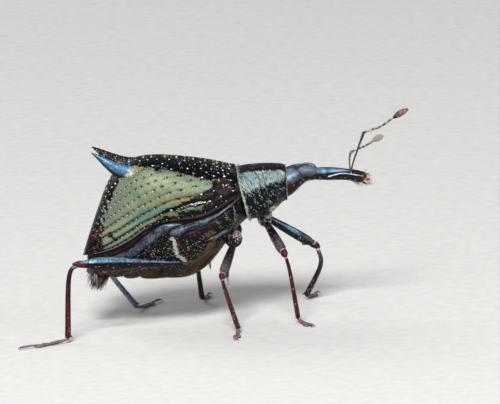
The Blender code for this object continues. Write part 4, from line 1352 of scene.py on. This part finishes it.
half, along, around = (left_half(grid) for grid in (rings, along, around))
near_tip = (ramp(along, 0.80, 0.94) + 0.06 * ramp(along, 0.4, 0.6)) * ramp(around, 0.50, 0.75)
hairs(
    "tip_bristles", half, near_tip + 0.3 * ramp(along, 0.80, 0.94) * ramp(around, 0.30, 0.10), 60,
    (0.18, 0.012, 0.010), gold_look, vary=0.35, lift=0.6,
)
hairs(
    "pale_tip_bristles", half, ramp(along, 0.84, 0.94) * ramp(around, 0.40, 0.60), 20, (0.28, 0.014, 0.011),
    hair_look, vary=0.35, cuts=2, lift=0.9, bend=0.15,
)
hairs(
    "snout_hairs", half, 0.5 * ramp(around, 0.48, 0.60) + ramp(around, 0.12, 0.02), 60, (0.05, 0.009, 0.007),
    hair_look, vary=0.4, spread=0.4, lift=0.35,
)

jaw_look, spot = new_look("red_brown_jaws", specular_ior_level=0.5)
fine = noise(spot, 25.0)
upper = spot.node("SeparateXYZ", None, {"Vector": spot}, 2).step(3.655, 3.685)
horn = fine.mottled((60, 24, 18), (122, 66, 44))
wear(
    jaw_look, height=fine, rise=0.004, roughness=0.3 + fine * 0.2,
    base_color=upper.mix(horn, fine.mottled((150, 128, 92), (214, 196, 154))),
)
bm = bmesh.new()
for sign in (1, -1):
    egg(bm, (MANDIBLE[0], sign * MANDIBLE[1], MANDIBLE[2]), MANDIBLE_RADII, 24, 14)
piece("jaws", bm, jaw_look, ["mandibles"])

# Feelers

# Each feeler has a long first joint from the groove of the snout, an elbow, seven beads and
# a velvety club. They are thin tubes of dark cuticle with fine silvery hairs.

FEELERS = {
    "right": {
        "scape": [(3.96, -0.16, 3.85), (4.02, -0.30, 4.14), (4.215, -0.45, 4.648), (4.382, -0.60, 5.066)],
        "funicle": [(4.382, -0.60, 5.066), (4.639, -0.68, 5.149), (4.868, -0.74, 5.23), (5.22, -0.83, 5.46)],
        "club": [(5.22, -0.83, 5.46), (5.42, -0.875, 5.585), (5.63, -0.915, 5.690)],
    },
    "left": {
        "scape": [(3.96, 0.16, 3.85), (3.94, 0.50, 3.98), (3.975, 0.95, 4.164), (4.037, 1.15, 4.22)],
        "funicle": [(4.037, 1.15, 4.22), (4.25, 1.32, 4.26), (4.498, 1.50, 4.32), (4.66, 1.66, 4.39)],
        "club": [(4.66, 1.66, 4.39), (4.80, 1.79, 4.43), (4.93, 1.915, 4.455)],
    },
}
BEADS = 7
# One bead is made thicker and painted wholly pale, the pale standing in for a highlight.
WHITE_BEAD = 1  # counted from the elbow, the first being 0
BEAD_GIRTHS = (0.012, 0.020, 0.014)  # at its ends, how much its middle adds, and more for the white one
SCAPE_GIRTHS = [[0.022], [0.022], [0.028], [0.042]]
CLUB_GIRTHS = [[0.026], [0.066], [0.084], [0.086], [0.074], [0.040]]
CLUB_SEAMS = 3.4  # how many times the club's seams would fit its length
SIDEWAYS = (0.0, 1.0, 0.0)


def limb_rings(path, half_widths, half_depths, normal, columns):
    """Closed rings along a path, their width along the normal, and what marks them."""
    way = unit(np.gradient(path, axis=0))
    deep = unit(np.cross(np.broadcast_to(np.asarray(normal, float), way.shape), way))
    across = unit(np.cross(way, deep))
    angles = np.linspace(0, 2 * math.pi, columns + 1)
    out = across[:, None, :] * np.cos(angles)[None, :, None] * half_widths[:, None, None]
    out = out + deep[:, None, :] * np.sin(angles)[None, :, None] * half_depths[:, None, None]
    along = np.repeat(np.linspace(0, 1, len(path))[:, None], columns + 1, axis=1)
    return path[:, None, :] + out, {"along": along, "rise": unit(out)[..., 2], "aside": unit(out)[..., 1]}


def joined(parts):
    """One bmesh of several."""
    whole = bmesh.new()
    for part in parts:
        mesh = bpy.data.meshes.new("part")
        part.to_mesh(mesh)
        part.free()
        whole.from_mesh(mesh)
        bpy.data.meshes.remove(mesh)
    return whole


def side_by_side(groups):
    """Several sets of roots as one, each with its own square of the unwrap."""
    wide = math.ceil(math.sqrt(len(groups)))
    squares = [
        (unwrap * 0.96 + np.array([k % wide, k // wide]) + 0.02) / wide
        for k, (_, _, _, unwrap) in enumerate(groups)
    ]
    columns = [np.concatenate([group[k] for group in groups]) for k in range(3)]
    return (*columns, np.concatenate(squares))


def limb_coat(name, groups, size, vary, look, lift, bend=0.0, spread=None, way=0.0):
    """One coat of hairs or scales over several limbs, which are placed as they stand."""
    roots = side_by_side(groups)
    count = len(roots[0])
    if spread:
        roots = swung(roots, ragged(count, spread, way))
    coat(name, strand(), roots, grown(size, vary, count), look, lift, bend, level=False)


feeler_look, spot, pale = new_look("dark_feeler", "pale", specular_ior_level=0.3)
fine = noise(spot, 30.0)
wear(
    feeler_look, height=fine, rise=0.004, roughness=0.4 + fine * 0.2,
    base_color=pale.mix(
        fine.mottled((26, 18, 21), (84, 68, 68)), fine.mottled((120, 112, 108), (232, 228, 220))
    ),
)
club_look, spot, along, pale = new_look("velvet_club", "along pale", specular_ior_level=0.2)
fine = noise(spot, 40.0)
seams = along * CLUB_SEAMS
seam = seams.node("Math", {"operation": "FRACT"}, {0: seams}).step(0.86, 0.98)
wear(
    club_look, height=fine, rise=0.006, roughness=0.7 + fine * 0.2,
    base_color=layered(
        along.step(0.15, 0.75).mix(
            fine.mottled((38, 16, 18), (86, 38, 36)), fine.mottled((62, 48, 48), (140, 122, 114))
        ),
        (pale, (186, 164, 152)),
        (seam * 0.6, (170, 162, 150)),
    ),
)
hairy = []
for side, route in FEELERS.items():
    places = np.linspace(0, 1, 48)
    girths = through(SCAPE_GIRTHS, places)[:, 0]
    rings, marks = limb_rings(through(route["scape"], places), girths, girths, SIDEWAYS, 20)
    # Painted highlight: the scape is pale at its root, where it leaves the snout.
    marks["pale"] = 0.8 * ramp(marks["along"], 0.10, 0.03)
    hairy.append(rooted(rings, marks["along"] + 0.3, 90, 0.3))
    scape = capped(rings, marks, (0.01, 0.02))
    piece("scape_tube_" + side, scape, feeler_look, ["scape_" + side], level=False)
    beads = []
    for k in range(BEADS):
        places = np.linspace((k + 0.04) / BEADS, (k + 0.96) / BEADS, 14)
        swell = np.sin(math.pi * np.linspace(0.12, 0.88, 14)) ** 0.7
        girths = BEAD_GIRTHS[0] + (BEAD_GIRTHS[1] + BEAD_GIRTHS[2] * (k == WHITE_BEAD)) * swell
        rings, marks = limb_rings(through(route["funicle"], places), girths, girths, SIDEWAYS, 16)
        everywhere = np.ones(marks["along"].shape)
        # Painted highlight: the white bead is pale all over.
        marks["pale"] = 0.85 * everywhere
        if k != WHITE_BEAD:
            marks["pale"] = 0.05 + 0.65 * ramp(marks["along"], 0.55, 0.8)
        hairy.append(rooted(rings, everywhere, 30, 0.3))
        beads.append(capped(rings, marks, (0.006, 0.006)))
    piece("beads_" + side, joined(beads), feeler_look, ["funicle_" + side], level=False)
    places = np.linspace(0, 1, 44)
    girths = through(CLUB_GIRTHS, places)[:, 0]
    rings, marks = limb_rings(through(route["club"], places), girths, girths, SIDEWAYS, 28)
    everywhere = np.ones(marks["along"].shape)
    marks["pale"] = everywhere * 0.5 * (side == "left")
    hairy.append(rooted(rings, everywhere, 100, 0.08))
    club = capped(rings, marks, (0.004, 0.028))
    piece("velvet_club_" + side, club, club_look, ["club_" + side], level=False)
limb_coat("feeler_hairs", hairy, (0.042, 0.007, 0.006), 0.3, hair_look, 0.35)

# Hips

# Six rounded hip joints sit in sockets of the underside, purple-black and glossy, with
# cream scales on the outer side of the front four and brown felt on the hind pair.

# Middle and half sizes of the left hips.
COXAE = {
    "front": ((1.47, 0.36, 2.82), (0.21, 0.20, 0.28)),
    "mid": ((0.56, 0.60, 2.32), (0.25, 0.25, 0.26)),
    "hind": ((-0.82, 0.76, 1.68), (0.34, 0.28, 0.26)),
}
CREAM_SCALES = {"front": 190, "mid": 90}
HIND_FELT = 420
leg_look, spot, blue, red, pale = new_look("purple_black_leg", "blue red pale", specular_ior_level=0.16)
fine = noise(spot, 18.0, 4.0)
highlight_dots = cells(spot, 16.0)
wear(
    leg_look, height=fine, rise=0.008, metallic=blue * 0.6, roughness=0.28 + fine * 0.2,
    base_color=layered(
        noise(spot, 3.0).mottled((7, 4, 7), (27, 15, 24)),
        # Painted highlights: small pale pink dots standing in for the glints of punctures.
        (highlight_dots.step(0.22, 0.10) * 0.5, (120, 92, 104)),
        (red, fine.mottled((44, 11, 16), (102, 30, 34), 0.35, 0.70)),
        # The pale layer is partly the legs' own pale joints and shins, and partly painted light: a painted
        # sheen
        # and a painted highlight ring on the front four thighs, and the left hind shin lightened against the
        # body's shade.
        (pale, fine.mottled((140, 130, 142), (206, 200, 204), 0.35, 0.70)),
        (blue, fine.mottled((72, 102, 132), (150, 184, 210), 0.38, 0.66)),
    ),
)
cream_roots, felt_roots = [], []
for pair, (centre, radii) in COXAE.items():
    for side, sign in (("left", 1), ("right", -1)):
        middle = np.array(centre) * np.array([1, sign, 1])
        upright = middle + np.outer([-1.0, 0.0, 1.0], [0, 0, radii[2]])
        places = np.linspace(0.02, 0.98, 28)
        swell = np.sqrt(1 - (2 * places - 1) ** 2)
        rings, marks = limb_rings(
            through(upright, places), swell * radii[1], swell * radii[0], SIDEWAYS, 40
        )
        outer_side = ramp(sign * marks["aside"], -0.2, 0.6)
        if pair == "hind":
            felt_roots.append(strew(rings, 0.2 + outer_side, HIND_FELT))
        else:
            forward = ramp(rings[..., 0] - centre[0], -0.02, 0.12) + 0.8 * (pair == "front")
            upper = ramp(marks["along"], 0.3, 0.7) + 0.4 * (pair == "front")
            marks["red"] = 0.8 * ramp(marks["along"], 0.62, 0.8) * outer_side
            cream_roots.append(strew(rings, outer_side * upper * forward + 0.02, CREAM_SCALES[pair]))
        leg = pair + "_" + side
        hip = capped(rings, marks, (0.004, 0.004))
        piece("hip_" + leg, hip, leg_look, ["coxa_" + leg], level=False)
limb_coat(
    "hip_scales", cream_roots, (0.055, 0.024, 0.012), 0.4, hair_look, 0.15,
    spread=0.7, way=3.0,
)
limb_coat(
    "hip_felt", felt_roots, (0.10, 0.014, 0.011), 0.3, gold_look, 0.35,
    bend=0.2, spread=0.8,
)

# Legs

# Each leg is a thick thigh with a small tooth, a slim shin that ends in a spur, and a foot of
# three joints, a two-lobed pad and two claws. The hind thighs and the left front one carry a
# blue metallic streak on their upper side, partly their own blue and partly a painted sheen.

# Of each leg: its hip, knee, a bend below the knee, ankle and toe, the half depth of its thigh,
# the height of its tooth, how blue the streak of its thigh is, and of its shin how blue the
# root and the end are, how red it is and how pale.
LEGS = {
    "front_right": {
        "path": [
            (1.52, -0.48, 2.64), (1.955, -1.80, 2.01), (2.06, -1.80, 1.50),
            (2.20, -1.60, 0.17), (2.60, -2.36, 0.0),
        ],
        "girth": 0.168, "tooth": 0.05, "streak": 0.0, "shin": (0.0, 0.0, 0.9, 0.0),
    },
    "front_left": {
        "path": [
            (1.54, 0.47, 2.64), (2.876, 1.10, 1.61), (2.95, 1.20, 1.05),
            (2.50, 1.45, 0.15), (2.84, 2.24, 0.0),
        ],
        "girth": 0.145, "tooth": 0.05, "streak": 1.0, "shin": (0.0, 0.0, 0.2, 0.1),
    },
    "mid_right": {
        "path": [
            (0.54, -0.78, 2.17), (0.162, -1.95, 1.511), (0.24, -2.06, 1.15),
            (0.52, -2.40, 0.14), (0.44, -3.40, 0.0),
        ],
        "girth": 0.148, "tooth": 0.08, "streak": 0.0, "shin": (0.0, 0.0, 0.9, 0.0),
    },
    "mid_left": {
        "path": [
            (0.52, 0.78, 2.17), (-0.45, 1.75, 1.45), (-0.50, 1.85, 1.10),
            (-0.45, 2.12, 0.14), (-0.22, 3.10, 0.0),
        ],
        "girth": 0.148, "tooth": 0.08, "streak": 0.0, "shin": (0.3, 0.05, 0.35, 0.15),
    },
    "hind_right": {
        "path": [
            (-0.90, -1.02, 1.79), (-3.78, -1.85, 2.15), (-4.06, -1.94, 1.82),
            (-4.21, -2.15, 0.17), (-5.58, -2.62, 0.0),
        ],
        "girth": 0.205, "tooth": 0.09, "streak": 1.0, "shin": (0.5, 0.0, 0.9, 0.0),
    },
    "hind_left": {
        "path": [
            (-0.90, 1.02, 1.79), (-3.20, 2.35, 1.46), (-3.14, 2.28, 1.20),
            (-2.30, 1.55, 0.15), (-1.62, 2.72, 0.0),
        ],
        # Its shin is painted pale blue-grey: partly its own colour, partly painted light against the body's
        # shade.
        "girth": 0.205, "tooth": 0.09, "streak": 1.0, "shin": (0.55, 0.55, 0.2, 0.75),
    },
}
# Half depth of a thigh along its length, as a share of its greatest. The front four are stout
# from the root, the hind pair are clubbed, and all end in a round knee.
THIGHS = {
    "stout": [
        (0.0, 0.66), (0.12, 0.74), (0.32, 0.88), (0.52, 0.96), (0.70, 1.0), (0.82, 0.94),
        (0.88, 0.68), (0.92, 0.74), (0.97, 0.74), (1.01, 0.62), (1.05, 0.28),
    ],
    "clubbed": [
        (0.0, 0.34), (0.12, 0.32), (0.32, 0.46), (0.52, 0.76), (0.70, 1.0), (0.83, 0.88),
        (0.92, 0.54), (0.96, 0.52), (1.00, 0.46), (1.03, 0.34), (1.05, 0.16),
    ],
}
# How high round the thigh the blue streak starts, along it. Being on the upper side, it is partly a painted
# sheen.
STREAK_EDGE = [(0.0, 0.72), (0.25, 0.70), (0.5, 0.58), (0.75, 0.46), (1.0, 0.46)]
THIGH_END = 1.05  # a thigh runs a little past the middle of its knee
FLATNESS = 0.8  # thickness of a thigh or shin as a share of its depth
TOOTH_PLACE, TOOTH_WIDTH = 0.79, 0.045
# The pale ring before the knee is a painted highlight on its upper side.
KNEE_RING = (0.922, 0.018)  # place and width of the pale ring before the knee
# The pale spine under each middle thigh: its place on it, how far out and down it runs, its girths.
SPINE_PLACE = 0.80
SPINE_PATH = [(0.0, 0.0), (0.10, 0.08), (0.13, 0.20), (0.14, 0.34)]
SPINE_GIRTHS = [0.050, 0.050, 0.040, 0.018]
SHIN_GIRTHS = [0.055, 0.058, 0.066, 0.076, 0.085]
# The spur at the end of the shin: share of its length inwards, and how far down.
SPUR_LENGTH = 0.10
SPUR_PATH = [(0.0, 0.0), (0.6, 0.02), (1.0, 0.06)]
SPUR_GIRTHS = [0.03, 0.018, 0.006]
# Pads and claws: places as (share of the foot's length, aside, height).
LOBE_PLACE = (0.585, 0.052, 0.036)
LOBE_RADII = (0.14, 0.058, 0.044)
CLAW_PATH = [(0.90, 0.012, 0.070), (0.965, 0.045, 0.066), (1.00, 0.06, 0.012)]
CLAW_GIRTHS = [0.018, 0.015, 0.006]
# The three joints of a foot: places as (share of its length, height), girths, rows and columns.
FOOT_JOINTS = [
    ([(-0.02, 0.13), (0.15, 0.085), (0.34, 0.055)], [0.035, 0.045, 0.056], 24, 20),
    ([(0.29, 0.055), (0.40, 0.052), (0.52, 0.050)], [0.030, 0.048, 0.055], 20, 20),
    ([(0.50, 0.050), (0.72, 0.076), (0.93, 0.070)], [0.022, 0.027, 0.035], 24, 16),
]
UP = np.array([0.0, 0.0, 1.0])

foot_look, spot = new_look("grey_brown_foot", specular_ior_level=0.3)
fine = noise(spot, 30.0)
wear(
    foot_look, height=fine, rise=0.006, roughness=0.5 + fine * 0.2,
    base_color=fine.mottled((62, 46, 50), (140, 122, 124)),
)


def tube(path, girths, normal, count, columns, bulge=(0.01, 0.01), paint=()):
    """A closed tapering tube along key points, its far part painted with the named marks."""
    places = np.linspace(0, 1, count)
    half = through(np.array(girths, float)[:, None], places)[:, 0]
    rings, marks = limb_rings(through(path, places), half, half, normal, columns)
    for name in paint:
        marks[name] = ramp(marks["along"], 0.15, 0.35)
    return capped(rings, marks, bulge)


leg_roots = []
for name, leg in LEGS.items():
    hip, knee, bend, ankle, toe = np.array(leg["path"])
    girth = leg["girth"]
    hind = name.startswith("hind")
    normal = unit(np.cross(knee - hip, ankle - knee))
    way = unit(knee - hip)
    inner = unit((ankle - knee) - way * np.dot(ankle - knee, way))

    places = np.linspace(0, THIGH_END, 120)
    half = np.interp(places, *np.array(THIGHS["clubbed" if hind else "stout"]).T) * girth
    kernel = np.hanning(9) / np.hanning(9).sum()
    half = np.convolve(np.pad(half, 4, mode="edge"), kernel, mode="valid")
    path = hip + (knee - hip) * places[:, None]
    rings, marks = limb_rings(path, half * FLATNESS, half, normal, 40)
    share = marks["along"] * THIGH_END
    to_inner = unit(rings - path[:, None, :]) @ inner
    tooth = np.exp(-(((share - TOOTH_PLACE) * np.linalg.norm(knee - hip) / TOOTH_WIDTH) ** 2))
    tooth = tooth * np.clip(to_inner, 0, 1) ** 8
    rings = rings + inner * (tooth * leg["tooth"])[..., None]
    # The blue streak on the upper side: partly the thigh's own blue, partly a painted sheen.
    edge = np.interp(share, *np.array(STREAK_EDGE).T)
    streak = ramp(marks["rise"], edge - 0.08, edge + 0.08)
    streak = streak * ramp(share, 0.02, 0.08) * ramp(share, 1.0, 0.95)
    if name == "front_left":  # its streak is a band that widens along the middle
        half_width = 0.10 + 0.20 * ramp(share, 0.20, 0.45)
        streak = ramp(np.abs(marks["rise"] - 0.30), half_width + 0.12, half_width - 0.06)
        streak = streak * ramp(share, 0.02, 0.08) * ramp(share, 0.66, 0.52)
    marks["blue"] = streak * leg["streak"]
    knee_red = 0.35 if name == "front_left" else 0.9
    marks["red"] = knee_red * ramp(share, 0.92, 0.95) + 0.25 * ramp(marks["rise"], -0.2, -0.8) * hind
    # Painted sheen: a pale lilac cast along the upper side of the thigh before the knee.
    sheen = 0.15 * ramp(share, 0.40, 0.84) * ramp(share, 0.90, 0.86) * ramp(marks["rise"], -0.3, 0.4)
    # Painted highlight: a pale ring on the upper side of the thigh just before the knee.
    ring = 0.85 * np.exp(-(((share - KNEE_RING[0]) / KNEE_RING[1]) ** 2)) * ramp(marks["rise"], -0.4, 0.3)
    marks["pale"] = (sheen + ring) * (not hind)
    count = 60 if hind or name == "front_left" else 110
    leg_roots.append(rooted(rings, ramp(share, 0.92, 0.88) * (1 - marks["blue"]), count, 0.3))
    thigh = capped(rings, marks, (0.02, 0.02))
    if name.startswith("mid"):
        start = hip + (knee - hip) * SPINE_PLACE + inner * girth * 0.5
        spine_path = [start + inner * out - UP * drop for out, drop in SPINE_PATH]
        spine = tube(spine_path, SPINE_GIRTHS, normal, 30, 14, paint=("pale",))
        thigh = joined([thigh, spine])
    piece("thigh_" + name, thigh, leg_look, ["femur_" + name], level=False)

    places = np.linspace(0, 1, 90)
    path = through([knee, bend, ankle], places)
    half = through(np.array(SHIN_GIRTHS)[:, None], places)[:, 0]
    rings, marks = limb_rings(path, half * FLATNESS, half, normal, 28)
    blue_root, blue_end, shin_red, shin_pale = leg["shin"]
    if hind:
        redder = 0.20 + 0.65 * ramp(marks["along"], 0.50, 0.85)
    else:
        redder = 0.16 + 0.64 * ramp(marks["along"], 0.10, 0.65)
    marks["blue"] = blue_end + (blue_root - blue_end) * ramp(marks["along"], 0.35, 0.10)
    marks["red"] = shin_red * redder
    fading = ramp(marks["along"], 1.6 if hind else 0.7, 0.2)
    marks["pale"] = np.maximum(shin_pale * fading, 0.9 * ramp(marks["along"], 0.15, 0.10) * (not hind))
    leg_roots.append(rooted(rings, 0.3 + marks["along"] ** 2, 40, 0.25))
    shin = capped(rings, marks, (0.02, 0.02))
    down = unit(ankle - knee)
    inward = unit((hip - ankle) - down * np.dot(hip - ankle, down))
    root = ankle - down * 0.06 + inward * 0.03
    spur_path = [root + inward * SPUR_LENGTH * share + down * lower for share, lower in SPUR_PATH]
    shin = joined([shin, tube(spur_path, SPUR_GIRTHS, normal, 12, 12)])
    piece("shin_" + name, shin, leg_look, ["tibia_" + name], level=False)

    level_way = (toe - ankle) * np.array([1, 1, 0])
    length = np.linalg.norm(level_way)
    way = unit(level_way)
    side = np.cross(UP, way)

    def foot_spot(share, aside, height):
        return ankle * np.array([1, 1, 0]) + way * share * length + side * aside + UP * height

    parts = [
        tube([foot_spot(share, 0, height) for share, height in route], girths, side, rows, columns)
        for route, girths, rows, columns in FOOT_JOINTS
    ]
    heading = math.atan2(way[1], way[0])
    for turned in (-1, 1):
        lobe = bmesh.new()
        place = (
            Matrix.Translation(foot_spot(LOBE_PLACE[0], LOBE_PLACE[1] * turned, LOBE_PLACE[2]))
            @ Matrix.Rotation(heading, 4, "Z") @ Matrix.Diagonal((*LOBE_RADII, 1.0))
        )
        bmesh.ops.create_uvsphere(lobe, u_segments=24, v_segments=14, radius=1.0, matrix=place)
        parts.append(lobe)
        parts.append(tube(
            [foot_spot(share, aside * turned, height) for share, aside, height in CLAW_PATH],
            CLAW_GIRTHS, side, 14, 12, bulge=(0.004, 0.002),
        ))
    foot = joined(parts)
    for vert in foot.verts:
        vert.co.z = max(vert.co.z, 0.0)
    piece("foot_" + name, foot, foot_look, ["tarsus_" + name], level=False)

limb_coat("leg_hairs", leg_roots, (0.046, 0.011, 0.009), 0.4, hair_look, 0.3)
